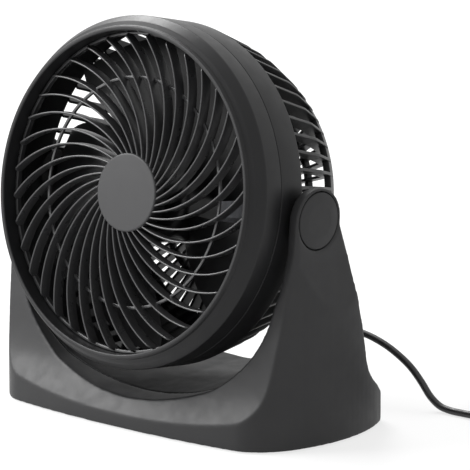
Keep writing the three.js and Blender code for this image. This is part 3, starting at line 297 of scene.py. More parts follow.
def add(tree, kind, settings=None, links=None):
    """Adds a node; settings are inputs or properties, and links are sources by input."""
    node = tree.nodes.new(kind)
    for name, value in (settings or {}).items():
        if isinstance(name, int) or name in node.inputs:
            node.inputs[name].default_value = value
        else:
            setattr(node, name, value)
    for name, source in (links or {}).items():
        tree.links.new(source, node.inputs[name])
    return node


def new_material(name):
    material = bpy.data.materials.new(name)
    material.use_nodes = True
    material.node_tree.nodes.clear()
    return material, material.node_tree


def per_metre(size):
    """A texture's scale from the size of its features in millimetres."""
    return 1 / (size * MM)


def clouds(tree, size, detail=3, vector=None):
    """Noise with features of a size in millimetres, fixed to the piece."""
    source = vector or add(tree, "ShaderNodeTexCoord").outputs["Object"]
    settings = {"Scale": per_metre(size), "Detail": detail}
    return add(tree, "ShaderNodeTexNoise", settings, {"Vector": source}).outputs["Fac"]


def between(tree, factor, low, high):
    """The factor's middle range, 0.35 to 0.65, mapped from low to high."""
    settings = {"From Min": 0.35, "From Max": 0.65, "To Min": low, "To Max": high}
    return add(tree, "ShaderNodeMapRange", settings, {"Value": factor}).outputs["Result"]


def tinted(tree, factor, dark, light):
    """A colour that the factor blends from one hex value to another."""
    settings = {"data_type": "RGBA", 6: colour(dark), 7: colour(light)}
    return add(tree, "ShaderNodeMix", settings, {0: factor}).outputs[2]


def bump(tree, height, depth, normal=None):
    links = {"Height": height}
    if normal:
        links["Normal"] = normal
    return add(tree, "ShaderNodeBump", {"Distance": depth * MM}, links).outputs["Normal"]


def surface(tree, settings, links):
    shader = add(tree, "ShaderNodeBsdfPrincipled", settings, links)
    add(tree, "ShaderNodeOutputMaterial", links={"Surface": shader.outputs["BSDF"]})


def moulded_abs(name, dark, light, roughness, grain, depth, sheen=0.3):
    """Black ABS, injection moulded in a spark-eroded tool: a satin face of fine, even grain.

    The real grain is about 0.1 mm, which is too fine to show, so it is drawn coarser.
    Roughness drifts a little where the tool is more worn, and the colour hardly at all. Soot black
    in the plastic keeps its sheen under that of clear ABS.
    """
    material, tree = new_material(name)
    drift = clouds(tree, 24)
    face = bump(tree, clouds(tree, grain, detail=2), depth)
    links = {
        "Base Color": tinted(tree, drift, dark, light),
        "Roughness": between(tree, clouds(tree, 9), roughness - 0.03, roughness + 0.03),
        "Normal": face,
    }
    surface(tree, {"IOR": 1.53, "Specular IOR Level": sheen}, links)
    return material


def glossy_polypropylene():
    """Black polypropylene, moulded in a polished tool: smooth blades with slow, soft waves."""
    material, tree = new_material("glossy_polypropylene")
    waves = bump(tree, clouds(tree, 14, detail=1), 0.12)
    links = {
        "Base Color": tinted(tree, clouds(tree, 30), "#121213", "#19191a"),
        "Roughness": between(tree, clouds(tree, 6), 0.3, 0.38),
        "Normal": bump(tree, clouds(tree, 0.8, detail=2), 0.01, waves),
    }
    surface(tree, {"IOR": 1.49}, links)
    return material


def moulded_rubber():
    """Black nitrile rubber, moulded: dull, with a bloom that lightens it in patches."""
    material, tree = new_material("moulded_rubber")
    links = {
        "Base Color": tinted(tree, clouds(tree, 3), "#131313", "#1e1e1d"),
        "Roughness": between(tree, clouds(tree, 2), 0.82, 0.93),
        "Normal": bump(tree, clouds(tree, 0.5), 0.03),
    }
    surface(tree, {"IOR": 1.52}, links)
    return material


def extruded_vinyl():
    """Black PVC jacket, extruded: half glossy, with faint lengthways drag and handling marks."""
    material, tree = new_material("extruded_vinyl")
    links = {
        "Base Color": tinted(tree, clouds(tree, 12), "#101011", "#171718"),
        "Roughness": between(tree, clouds(tree, 4), 0.38, 0.5),
        "Normal": bump(tree, clouds(tree, 0.7), 0.02),
    }
    surface(tree, {"IOR": 1.54}, links)
    return material


def natural_nylon():
    """Undyed nylon, moulded: milky and waxy, so that light goes a little way in."""
    material, tree = new_material("natural_nylon")
    links = {
        "Base Color": tinted(tree, clouds(tree, 6), "#c6c1b0", "#d9d5c8"),
        "Roughness": between(tree, clouds(tree, 3), 0.42, 0.55),
        "Normal": bump(tree, clouds(tree, 0.6), 0.01),
    }
    settings = {"IOR": 1.53, "Subsurface Weight": 0.15, "Subsurface Scale": 0.001}
    surface(tree, settings, links)
    return material


def zinc_plated_steel():
    """Zinc-plated steel, barrelled: bright bluish grey with small dull scuffs."""
    material, tree = new_material("zinc_plated_steel")
    links = {
        "Base Color": tinted(tree, clouds(tree, 1.5), "#8f9196", "#b4b6ba"),
        "Roughness": between(tree, clouds(tree, 1), 0.28, 0.45),
        "Normal": bump(tree, clouds(tree, 0.5), 0.01),
    }
    surface(tree, {"Metallic": 1}, links)
    return material


def pressed_steel():
    """Electrical steel sheet, pressed and oiled: grey, with the sheets' edges as fine lines."""
    material, tree = new_material("pressed_steel")
    source = add(tree, "ShaderNodeTexCoord").outputs["Object"]
    # sheets of 0.5 mm lie across the head's axis
    turn = {"Rotation": (-HEAD_TILT, 0, 0)}
    along = add(tree, "ShaderNodeMapping", turn, {"Vector": source}).outputs["Vector"]
    settings = {"wave_type": "BANDS", "bands_direction": "Y", "Scale": per_metre(0.5) / math.tau}
    sheets = add(tree, "ShaderNodeTexWave", settings, {"Vector": along}).outputs["Fac"]
    links = {
        "Base Color": tinted(tree, clouds(tree, 5), "#6f7074", "#8a8b8f"),
        "Roughness": between(tree, clouds(tree, 2), 0.38, 0.55),
        "Normal": bump(tree, sheets, 0.04),
    }
    surface(tree, {"Metallic": 1}, links)
    return material


def enamelled_copper():
    """Copper wire with clear enamel, wound: warm and bright along each turn."""
    material, tree = new_material("enamelled_copper")
    links = {
        "Base Color": tinted(tree, clouds(tree, 2), "#8f4a26", "#c27444"),
        "Roughness": between(tree, clouds(tree, 1.5), 0.3, 0.45),
        "Normal": bump(tree, clouds(tree, 0.6), 0.03),
    }
    surface(tree, {"Metallic": 1, "Coat Weight": 0.6, "Coat Roughness": 0.2}, links)
    return material


def sintered_bronze():
    """Oil-filled sintered bronze, pressed: brown gold with fine open pores."""
    material, tree = new_material("sintered_bronze")
    links = {
        "Base Color": tinted(tree, clouds(tree, 0.8), "#7d6138", "#b08d57"),
        "Roughness": between(tree, clouds(tree, 0.6), 0.35, 0.55),
        "Normal": bump(tree, clouds(tree, 0.4), 0.03),
    }
    surface(tree, {"Metallic": 1}, links)
    return material


def nickel_plated_brass():
    """Brass strip, stamped and nickel plated: pale, with fine scratches along the blade."""
    material, tree = new_material("nickel_plated_brass")
    source = add(tree, "ShaderNodeTexCoord").outputs["Object"]
    stretch = {"Scale": (0.05, 1, 1)}
    along = add(tree, "ShaderNodeMapping", stretch, {"Vector": source}).outputs["Vector"]
    scratches = clouds(tree, 0.3, vector=along)
    links = {
        "Base Color": tinted(tree, clouds(tree, 4), "#b9b2a0", "#cfc9b8"),
        "Roughness": between(tree, scratches, 0.22, 0.4),
        "Normal": bump(tree, scratches, 0.01),
    }
    surface(tree, {"Metallic": 1}, links)
    return material


def printed_ink():
    """White pad-printed ink: flat, thin and slightly uneven."""
    material, tree = new_material("printed_ink")
    links = {
        "Base Color": tinted(tree, clouds(tree, 1), "#c9c9c6", "#dcdcda"),
        "Roughness": between(tree, clouds(tree, 1), 0.5, 0.6),
    }
    surface(tree, {"IOR": 1.5}, links)
    return material


BASE_ABS = moulded_abs("moulded_abs_base", "#1d1d1e", "#232324", 0.5, grain=0.7, depth=0.035)
# painted shade: the saddle and back shell is the same black ABS as the base, given a darker colour and less
# sheen to stand for the shade in the saddle's hollow
SHADED_SADDLE_ABS = moulded_abs("moulded_abs_saddle_painted_shade", "#101011", "#151516", 0.6, grain=0.7, depth=0.04, sheen=0.14)
HEAD_ABS = moulded_abs("moulded_abs_head", "#161617", "#1c1c1d", 0.4, grain=0.7, depth=0.03, sheen=0.22)
GRILLE_ABS = moulded_abs("moulded_abs_grille", "#2c2c2d", "#323233", 0.3, grain=0.6, depth=0.02, sheen=0.4)
DISC_ABS = moulded_abs("moulded_abs_disc", "#2c2c2d", "#313132", 0.42, grain=0.6, depth=0.02, sheen=0.26)
KNOB_ABS = moulded_abs("moulded_abs_knob", "#1b1b1c", "#202021", 0.55, grain=0.6, depth=0.03)
BLADE_PP = glossy_polypropylene()
RUBBER = moulded_rubber()
VINYL = extruded_vinyl()
NYLON = natural_nylon()
ZINC = zinc_plated_steel()
STEEL = pressed_steel()
COPPER = enamelled_copper()
BRONZE = sintered_bronze()
BRASS = nickel_plated_brass()
INK = printed_ink()

# ------------------------------------------------------------------ cord, in metres
CORD_DIAMETER = 0.005
CORD_EXIT_RADIUS = 0.106  # from the pivots' axis to where the cord leaves its relief
CORD_EXIT_ANGLE = math.radians(45)  # below level, behind the pivots
CORD_ROUTE = [
    (0, 0.0726, 0.0756),
    (0.0008, 0.078, 0.0696),
    (0.006, 0.0875, 0.0586),
    (0.022, 0.1016, 0.0508),
    (0.0443, 0.1107, 0.0469),
    (0.0665, 0.115, 0.0449),
    (0.0846, 0.1157, 0.0402),
    (0.098, 0.1157, 0.0344),
    (0.1095, 0.1157, 0.0274),
    (0.119, 0.1157, 0.0186),
    (0.127, 0.1157, 0.0098),
    (0.1355, 0.1157, 0.0044),
    (0.144, 0.1157, 0.0028),
    (0.156, 0.1157, 0.0027),
    (0.168, 0.1157, 0.003),
    (0.1777, 0.1157, 0.0041),
    (0.183, 0.1157, 0.0041),
]
COIL_CENTRE = (0.188, 0.1585)
COIL_INNER_RADIUS = 0.02
COIL_PITCH = 0.0057
COIL_TURNS = 4  # in each of its two layers
COIL_FLOOR = 0.0041
COIL_TOP = COIL_FLOOR + COIL_PITCH
COIL_STEPS = 32
PLUG_START = 0.208  # where the cord goes into the plug


def coil_point(turns):
    """Spirals in on the lower layer, climbs at the inside and spirals out on the upper one."""
    angle = math.tau * turns - math.pi / 2
    radius = COIL_INNER_RADIUS + COIL_PITCH * abs(COIL_TURNS - turns)
    climb = min(max(2 * (turns - COIL_TURNS) + 0.5, 0), 1)
    height = COIL_FLOOR + COIL_PITCH * climb * climb * (3 - 2 * climb)
    x = COIL_CENTRE[0] + radius * math.cos(angle)
    y = COIL_CENTRE[1] + radius * math.sin(angle)
    return Vector((x, y, height))


def cord_path():
    down = Vector((0, math.cos(CORD_EXIT_ANGLE), -math.sin(CORD_EXIT_ANGLE)))
    start = PIVOT * MM + down * CORD_EXIT_RADIUS
    coil = [coil_point(i / COIL_STEPS) for i in range(2 * COIL_TURNS * COIL_STEPS + 1)]
    end = Vector((PLUG_START, coil[-1].y, COIL_TOP))
    lead = smooth_line([start, *CORD_ROUTE, coil[0]], 4)
    return [*lead, *coil[1:], coil[-1].lerp(end, 0.5), end]


def make_cord(pieces_on_it):
    path = cord_path()
    tube = swept([point / MM for point in path], lambda share: circle(CORD_DIAMETER / 2 / MM, 12))
    cord = mesh_object("power_cord", tube)
    finished(cord, None, VINYL, ["cord_lead", "cord_coil"])
    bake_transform(cord)


# ------------------------------------------------------------------ relief, tie and plug
COVER_RADIUS = 44.5
COVER_FRONT = -67.7
COVER_BACK = -77.6
RELIEF_ROOT_RADIUS = 4.2
RELIEF_TIP_RADIUS = 3.2
RELIEF_RINGS = 5
RELIEF_GROOVE = 0.5


def relief_section(share):
    """Tapers towards the cord, with grooves that let it bend."""
    radius = RELIEF_ROOT_RADIUS + (RELIEF_TIP_RADIUS - RELIEF_ROOT_RADIUS) * share
    ripple = 0.5 - 0.5 * math.cos(math.tau * RELIEF_RINGS * share)
    flexes = 0.12 < share < 0.92
    return circle(radius - (RELIEF_GROOVE * ripple**3 if flexes else 0), 20)


def make_strain_relief():
    turn = CORD_EXIT_ANGLE - HEAD_TILT
    heading = Vector((0, math.cos(turn), -math.sin(turn)))
    end = heading * CORD_EXIT_RADIUS / MM
    root = Vector((0, -(COVER_FRONT + COVER_BACK) / 2, -COVER_RADIUS - TOUCH_GAP))
    path = smooth_line([root, root + Vector((0, 0.4, -5)), end - heading * 8, end], 20)
    relief = mesh_object("cord_strain_relief", swept(path, relief_section), HEAD)
    finished(relief, "head", VINYL, ["strain_relief"], sharp=60)


TIE_WIDTH = 5
TIE_THICKNESS = 0.8


def make_tie():
    """A flat band round the turns."""
    low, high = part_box("cord_tie")
    x = (low.x + high.x) / 2 / MM
    y0, y1, z0, z1 = (value / MM for value in (low.y, high.y, low.z, high.z))
    outer = [(y0, z0, 1.6), (y1, z0, 1.6), (y1, z1, 1.6), (y0, z1, 1.6)]
    inner = inset(rounded(outer), TIE_THICKNESS)
    rings = []
    for (y, z), (v, w) in zip(rounded(outer), inner):
        rings.append([(x - TIE_WIDTH / 2, y, z), (x + TIE_WIDTH / 2, y, z),
                      (x + TIE_WIDTH / 2, v, w), (x - TIE_WIDTH / 2, v, w)])
    tie = mesh_object("cord_tie_band", skin(rings, loop=True))
    return finished(tie, "base", RUBBER, ["cord_tie"])


PLUG_LENGTH = 40
PLUG_STATIONS = [
    # along the plug, half width, half height, and how square the section is
    (0, 3.4, 3.4, 2),
    (4, 3.7, 3.7, 2),
    (11, 4.3, 4.3, 2),
    (13, 5.2, 5, 2.2),
    (15.5, 9.6, 7.4, 2.6),
    (19, 11.9, 8.7, 3),
    (24, 12.1, 8.8, 3.2),
    (31, 11.2, 8.3, 3.2),
    (35, 12.2, 8.9, 3.4),
    (38.6, 12.2, 8.9, 3.4),
    (39.7, 11.6, 8.3, 3.2),
    (40, 10.8, 7.6, 3),
]
PLUG_BLADE_LENGTH = 16
PLUG_BLADE_WIDTH = 6.35
PLUG_BLADE_THICKNESS = 1.5
PLUG_BLADE_SPACING = 12.7
PLUG_BLADE_INSET = 6


def squircle(half_width, half_height, power, sides=32):
    """A rounded section between an ellipse, at power 2, and a rectangle."""
    points = []
    for i in range(sides):
        c, s = math.cos(math.tau * i / sides), math.sin(math.tau * i / sides)
        grow = (abs(c) ** power + abs(s) ** power) ** (-1 / power)
        points.append((half_width * c * grow, half_height * s * grow))
    return points


def make_plug():
    """The moulded plug with a waist for the fingers, and its two blades."""
    start = Vector((PLUG_START / MM + TOUCH_GAP, coil_point(0).y / MM, COIL_TOP / MM))
    rings = []
    for along, half_width, half_height, power in PLUG_STATIONS:
        section = squircle(half_width, half_height, power)
        rings.append([start + Vector((along, across, up)) for across, up in section])
    plug = mesh_object("power_plug", skin(rings, caps=True))
    slots = []
    blades = []
    for name, side in (("left", -1), ("right", 1)):
        middle = start.y + side * PLUG_BLADE_SPACING / 2
        root = start.x + PLUG_LENGTH - PLUG_BLADE_INSET
        tip = start.x + PLUG_LENGTH + PLUG_BLADE_LENGTH
        half = PLUG_BLADE_THICKNESS / 2
        rise = PLUG_BLADE_WIDTH / 2
        room = TOUCH_GAP
        slot = block(root - room, tip, middle - half - room, middle + half + room,
                     start.z - rise - room, start.z + rise + room)
        slots.append(mesh_object("slot", slot))
        outline = rounded([(root, start.z - rise, 0), (tip, start.z - rise, 1.8),
                           (tip, start.z + rise, 1.8), (root, start.z + rise, 0)])
        blade = mesh_object(f"plug_blade_{name}_pin", prism(outline, middle - half, middle + half, "Y"))
        hole = moved(upright_turned([(0, -2), (1.5, -2), (1.5, 2), (0, 2)], 24),
                     Matrix.Translation((tip - 4, middle, start.z)) @ Matrix.Rotation(math.pi / 2, 4, "X"))
        combined(blade, "DIFFERENCE", mesh_object("hole", hole))
        blades.append(finished(blade, "base", BRASS, [f"plug_blade_{name}"]))
    combined(plug, "DIFFERENCE", *slots)
    return [finished(plug, "base", VINYL, ["plug_body"], sharp=50), *blades]


# ------------------------------------------------------------------ base
BASE_HALF_WIDTH = 137.6
BASE_FRONT = 66.5
BASE_BACK = 74.5
FRONT_EDGE_SAG = 6.6
FRONT_CORNER = (36, 35)  # width and depth that the rounded corner takes
BACK_CORNER = (13.5, 9.5)
SKIRT_LIFT = 0.8
SKIRT_HEIGHT = 10.7
BEVEL_LINE = [
    # (distance ahead of the origin, height) up the bevel and the arm's front edge
    (58.8, 21.2), (52.5, 31), (49.2, 39), (46.2, 51), (43.2, 68), (40.4, 83), (36.3, 111), (31, 136),
]
ARM_BACK_LINE = [
    # (distance behind the origin, height) down the arm's back edge
    (22, 129), (26.9, 103), (35.5, 73), (42.6, 46), (49.8, 36.6), (60, 29.2), (70.6, 21.7),
]
FOOT_BACK_HEIGHT = 20
SADDLE_BOTTOM = 21.2
SADDLE_HALF_WIDTH = 123.5
SADDLE_LINE = [
    # (half width, height) up one side of the saddle
    (0, 21.2), (23, 22.8), (46, 27.2), (62, 32), (73.5, 36.6), (94.7, 53), (106.7, 68), (113.8, 83),
    (118, 98), (121.5, 110), (122.9, 125), (123.5, 139.5),
]
SADDLE_RISE = math.radians(2.6)
SADDLE_SEAM = 37.3
ARM_BOSS_RADIUS = 22.2
ARM_FACE = 131.9
ARM_LEAN_FROM = 85
ARM_LEAN_TO = 128
CAP_RECESS_RADIUS = 19.9
CAP_RECESS_DEPTH = 4.8
CAP_SEAT = ARM_FACE - CAP_RECESS_DEPTH
CUP_BACK = CAP_SEAT - 1.4
STUB_RADIUS = 8
STUB_ROOM = 0.4
BEYOND = 12  # how far a cutting shape runs past what it cuts
ABOVE = PIVOT_HEIGHT + ARM_BOSS_RADIUS + BEYOND
FINE = 1.0  # size of the mesh that rounds the shells' edges
EDGE_ROUNDING = 9  # passes that round them, to about 2 mm
KEPT_SHARE = 0.3  # share of the mesh's faces that is kept

TAB_HEIGHT = 3
TAB_THICKNESS = 2.4
FRONT_TAB_X = 72
FRONT_TAB_WIDTH = 34
FRONT_TAB_REACH = 24
SIDE_TAB_Y = 8
SIDE_TAB_DEPTH = 16
SIDE_TAB_REACH = 98
BACK_TAB_REACH = 44
SCREW_FROM_TAB_END = 6
TAB_BORE_RADIUS = 1.7
TAB_BORE_BELOW = 1  # how far a bore starts below its tab, and ends above the tab's underside
TAB_BORE_ABOVE = 4


def bezier(p0, p1, p2, p3, steps):
    shares = [i / steps for i in range(steps)]
    points = [Vector(p) for p in (p0, p1, p2, p3)]
    weights = [((1 - t) ** 3, 3 * t * (1 - t) ** 2, 3 * t * t * (1 - t), t**3) for t in shares]
    return [sum((p * w for p, w in zip(points, row)), Vector((0, 0))) for row in weights]


def plan_outline(distance):
    """The base seen from above: a bowed front, large front corners and small back ones."""
    front_end = Vector((BASE_HALF_WIDTH - FRONT_CORNER[0], FRONT_EDGE_SAG - BASE_FRONT))
    side_start = Vector((BASE_HALF_WIDTH - 5, front_end.y + FRONT_CORNER[1]))
    side_end = Vector((BASE_HALF_WIDTH - BACK_CORNER[0], BASE_BACK - BACK_CORNER[1]))
    back_end = Vector((side_end.x - BACK_CORNER[0], BASE_BACK))
    middle = Vector((0, -BASE_FRONT))
    right = [
        *curve_through(middle, Vector((front_end.x - 44, -BASE_FRONT)), front_end, 16)[:-1],
        *bezier(front_end, front_end + Vector((14.4, 1.9)), side_start - Vector((3.1, 16)), side_start, 16),
        *bezier(side_start, Vector((BASE_HALF_WIDTH + 1.9, side_start.y + 23)),
                Vector((BASE_HALF_WIDTH + 3.4, side_end.y - 31)), side_end, 16),
        *curve_through(side_end, Vector((side_end.x - 4.5, BASE_BACK)), back_end, 8),
    ]
    left = [Vector((-point.x, point.y)) for point in reversed(right[1:])]
    return inset(right + left, distance)


def side_outline(distance):
    """The foot and the arms seen from the side, as (y, z) points."""
    front = smooth_line([(-BASE_FRONT, SKIRT_HEIGHT), *((-a, z) for a, z in BEVEL_LINE)], 5)
    back = smooth_line([*ARM_BACK_LINE, (BASE_BACK + BEYOND, FOOT_BACK_HEIGHT)], 5)
    top = []
    for degrees in range(178, -16, -6):
        angle = math.radians(degrees)
        y = -PIVOT_AHEAD + ARM_BOSS_RADIUS * math.cos(angle)
        top.append(Vector((y, PIVOT_HEIGHT + ARM_BOSS_RADIUS * math.sin(angle))))
    low_front = [Vector((-BASE_FRONT - BEYOND, -BEYOND)), Vector((-BASE_FRONT - BEYOND, SKIRT_HEIGHT - 1))]
    low_back = [Vector((BASE_BACK + BEYOND, -BEYOND))]
    return inset([*low_front, *front, *top, *back, *low_back][::-1], distance)


def lean_outline(distance):
    """The arms' outer faces seen from the front: upright, then leaning in towards the pivots."""
    wide = BASE_HALF_WIDTH + 1
    right = [(wide + BEYOND, -BEYOND), (wide + BEYOND, ARM_LEAN_FROM - 1), (wide, ARM_LEAN_FROM),
             (ARM_FACE, ARM_LEAN_TO), (ARM_FACE, ABOVE)]
    left = [(-x, z) for x, z in reversed(right)]
    return inset([Vector(point) for point in right + left], distance)


def base_block(distance):
    low = -BEYOND if distance else SKIRT_LIFT
    plan = mesh_object("plan", prism(plan_outline(distance), low, ABOVE, "Z"))
    wide = BASE_HALF_WIDTH + BEYOND
    side = mesh_object("side", prism(side_outline(distance), -wide, wide, "X"))
    reach = BASE_BACK + BEYOND
    lean = mesh_object("lean", prism(lean_outline(distance), -reach, reach, "Y"))
    return combined(plan, "INTERSECT", side, lean)


def saddle_cutter(distance):
    """The space that the head swings in, which climbs a little towards the back."""
    right = [*smooth_line(SADDLE_LINE, 4), Vector((SADDLE_HALF_WIDTH, ABOVE + BEYOND))]
    left = [Vector((-point.x, point.y)) for point in reversed(right[1:])]
    outline = inset(right + left, -distance)
    reach = BASE_FRONT + BASE_BACK
    start = Vector((0, -BEVEL_LINE[0][0], SADDLE_BOTTOM))
    turn = Matrix.Rotation(SADDLE_RISE, 4, "X")
    hinge = Matrix.Translation(start) @ turn @ Matrix.Translation(-start)
    return mesh_object("saddle", moved(prism(outline, -reach, reach, "Y"), hinge))


def rear_zone(gap):
    """The space behind the parting line and inside the outer walls."""
    inside = base_block(WALL + TOUCH_GAP - gap)
    half_back = BASE_HALF_WIDTH - 2 * BACK_CORNER[0] + gap
    end = BASE_BACK + BEYOND
    behind = block(-half_back, half_back, BASE_BACK - FOOT_BACK_HEIGHT, end, -BEYOND, PIVOT_HEIGHT)
    half = BASE_HALF_WIDTH + BEYOND
    cut = block(-half, half, -SADDLE_SEAM - gap, end, -BEYOND, ABOVE)
    both = combined(inside, "UNION", mesh_object("behind", behind))
    return combined(both, "INTERSECT", mesh_object("cut", cut))


TONGUE_REACH = 3
TONGUE_THICKNESS = 1.4
TONGUE_TOP = 38


def back_tongues():
    """Strips inside the back wall, one at each end of its panel, that close the seams to the light."""
    seam = BASE_HALF_WIDTH - 2 * BACK_CORNER[0]
    front = BASE_BACK - FOOT_BACK_HEIGHT + TOUCH_GAP
    parts = []
    for outer, inner, reach in ((WALL + TOUCH_GAP, WALL + TOUCH_GAP + TONGUE_THICKNESS, TONGUE_REACH),
                                (WALL - TOUCH_GAP, WALL + 2 * TOUCH_GAP, -TOUCH_GAP)):
        strips = []
        for side in (1, -1):
            low, high = sorted((side * (seam - TONGUE_REACH), side * (seam + reach)))
            strips.append(block(low, high, front, BASE_BACK, SKIRT_LIFT, TONGUE_TOP))
        layer = combined(mesh_object("tongues", joined(*strips)), "INTERSECT", base_block(outer))
        parts.append(combined(layer, "DIFFERENCE", base_block(inner)))
    return combined(parts[0], "UNION", parts[1])


def across_pivot(radius, start, end, side, sides=96):
    """A rod along X on the pivots' axis, from start to end on one side."""
    low, high = sorted((side * start, side * end))
    return moved(prism(circle(radius, sides), low, high, "X"), AT_PIVOT)


def tabs():
    """(name, x, y, plate) of the six tabs; x and y are where each one's screw or post stands."""
    rows = []
    top = TAB_HEIGHT + TAB_THICKNESS
    for name, side in (("left", -1), ("right", 1)):
        x0 = side * FRONT_TAB_X - FRONT_TAB_WIDTH / 2
        x1 = x0 + FRONT_TAB_WIDTH
        front = block(x0, x1, -BASE_FRONT, -FRONT_TAB_REACH, TAB_HEIGHT, top)
        rows.append((f"front_{name}", side * FRONT_TAB_X, -FRONT_TAB_REACH - SCREW_FROM_TAB_END, front))
        x0, x1 = sorted((side * SIDE_TAB_REACH, side * BASE_HALF_WIDTH))
        half = SIDE_TAB_DEPTH / 2
        plate = block(x0, x1, SIDE_TAB_Y - half, SIDE_TAB_Y + half, TAB_HEIGHT, top)
        rows.append((f"side_{name}", side * (SIDE_TAB_REACH + SCREW_FROM_TAB_END), SIDE_TAB_Y, plate))
        x0 = side * FRONT_TAB_X - FRONT_TAB_WIDTH / 2
        back = block(x0, x0 + FRONT_TAB_WIDTH, BACK_TAB_REACH, BASE_BACK, TAB_HEIGHT, top)
        rows.append((f"back_{name}", side * FRONT_TAB_X, BACK_TAB_REACH, back))
    return rows


def softened(piece):
    """Rounds every edge of a shell as its mould does, and thins its mesh out again."""
    remesh = piece.modifiers.new("even", "REMESH")
    remesh.mode = "VOXEL"
    remesh.voxel_size = FINE * MM
    settle(piece)
    smooth = piece.modifiers.new("round", "SMOOTH")
    smooth.factor = 0.5
    smooth.iterations = EDGE_ROUNDING
    settle(piece)
    thin = piece.modifiers.new("thin", "DECIMATE")
    thin.ratio = KEPT_SHARE
    return settle(piece)


def make_base_shells():
    walls = combined(base_block(0), "DIFFERENCE", saddle_cutter(0))
    hollow = combined(base_block(WALL), "DIFFERENCE", saddle_cutter(WALL))
    walls = combined(walls, "DIFFERENCE", hollow)
    rear_walls = mesh_object("rear", ([], []))
    rear_walls.data = walls.data.copy()
    front = combined(walls, "DIFFERENCE", rear_zone(TOUCH_GAP))
    rear = combined(rear_walls, "INTERSECT", rear_zone(0))
    skirt = prism(plan_outline(WALL / 2), -BEYOND, PIVOT_HEIGHT, "Z")
    for name, x, y, plate in tabs():
        tab = combined(mesh_object("tab", plate), "INTERSECT", mesh_object("skirt", skirt))
        shell = rear if name.startswith("back") else front
        combined(shell, "UNION", tab)
        if not name.startswith("back"):
            bore = prism(circle(TAB_BORE_RADIUS, 24), TAB_HEIGHT - TAB_BORE_BELOW,
                         TAB_HEIGHT + TAB_BORE_ABOVE, "Z")
            place = Matrix.Translation((x, y, 0))
            combined(front, "DIFFERENCE", mesh_object("bore", moved(bore, place)))
    combined(rear, "UNION", back_tongues())
    for side in (1, -1):
        cup = across_pivot(ARM_BOSS_RADIUS - TOUCH_GAP, CUP_BACK, ARM_FACE, side)
        combined(front, "UNION", mesh_object("cup", cup))
        recess = across_pivot(CAP_RECESS_RADIUS, CAP_SEAT, ARM_FACE + BEYOND, side)
        combined(front, "DIFFERENCE", mesh_object("recess", recess))
        room = across_pivot(ARM_BOSS_RADIUS + TOUCH_GAP, CUP_BACK - TOUCH_GAP, ARM_FACE + BEYOND, side)
        combined(rear, "DIFFERENCE", mesh_object("room", room))
        for shell in (front, rear):
            hole = across_pivot(STUB_RADIUS + STUB_ROOM, SADDLE_HALF_WIDTH - BEYOND,
                                ARM_FACE + BEYOND, side)
            combined(shell, "DIFFERENCE", mesh_object("hole", hole))
    front.name = "foot_and_arms_shell"
    rear.name = "saddle_and_back_shell"
    finished(softened(front), "base", BASE_ABS, ["base_front_shell"], sharp=70)
    # the rear shell takes the darker copy of the base's ABS, which is painted shade for the saddle's hollow
    finished(softened(rear), "base", SHADED_SADDLE_ABS, ["base_rear_shell"], sharp=70)


FOOT_PLACES = [(72, -41), (-72, -41), (72, 61), (-72, 61)]
FOOT_RADIUS = 7
FOOT_TOP = 2.7


def make_feet():
    """Round rubber pads with a softened rim and a shallow dish that grips the table."""
    profile = rounded([(0, 0.4, 0), (4, 0.4, 0.5), (4.6, 0, 0.3), (FOOT_RADIUS, 0, 0.7),
                       (FOOT_RADIUS, FOOT_TOP, 0.3), (0, FOOT_TOP, 0)], closed=False)
    for x, y in FOOT_PLACES:
        name = f"{'front' if y < 0 else 'back'}_{'left' if x < 0 else 'right'}"
        shape = upright_turned(profile)
        foot = mesh_object(f"foot_pad_{name}", shape, Matrix.Translation((x, y, 0)))
        finished(foot, "base", RUBBER, [f"rubber_foot_{name}"])


def make_pivot_caps():
    """Plain domed discs in the arms' recesses, with a rim that catches the light."""
    rim = CAP_RECESS_RADIUS - 0.4
    face = ARM_FACE - TOUCH_GAP
    profile = rounded([(0, face + 0.8, 0), (0.6 * rim, face + 0.5, 6), (rim, face - 0.2, 1.1),
                       (rim, CAP_SEAT + TOUCH_GAP, 0.3), (rim - 1.6, CAP_SEAT + TOUCH_GAP, 0.3),
                       (rim - 1.6, face - 2.2, 0.6), (0, face - 1.4, 0)], closed=False, steps=6)
    for name, side in (("left", -1), ("right", 1)):
        turn = Matrix.Rotation(side * math.pi / 2, 4, "Y")
        cap = mesh_object(f"pivot_cover_{name}", upright_turned(profile, 96), AT_PIVOT @ turn)
        finished(cap, "base", BASE_ABS, [f"pivot_cap_{name}"])


# ------------------------------------------------------------------ head: front ring and grille
HEAD_RADIUS = 120.8
LIP_AHEAD = 55.2
LIP_RADIUS = 113
LIP_WIDTH = 3
CREASE_AHEAD = 43.4
SEAM_AHEAD = 27
SEAM_RADIUS = 119.8
SLOT_AHEAD = 4.4
SLOT_RADIUS = 118.4
GRILLE_AHEAD = 49
RIB_COUNT = 36
RIB_DEPTH = 8.5
RIB_THICKNESS = 1.7
RIB_ARC_RADIUS = 84  # each rib follows part of a circle
RIB_ARC_OFFSET = 74  # from the head's axis to that circle's centre
RIB_PHASE = math.radians(1)
RIB_END_DROP = 5  # the ribs bend back to the rim, which lies that much deeper
RIB_END_LENGTH = 3
RIM_WIDTH = 2.2
RIM_DEPTH = 9.2
DISC_RADIUS = 26.9
DISC_PROUD = 0.8
DISC_DEPTH = 12
CROSS_RING_RADIUS = 78.6
CROSS_RING_WIDTH = 2.2
CROSS_RING_BEHIND = 6
CROSS_RING_DEPTH = 2


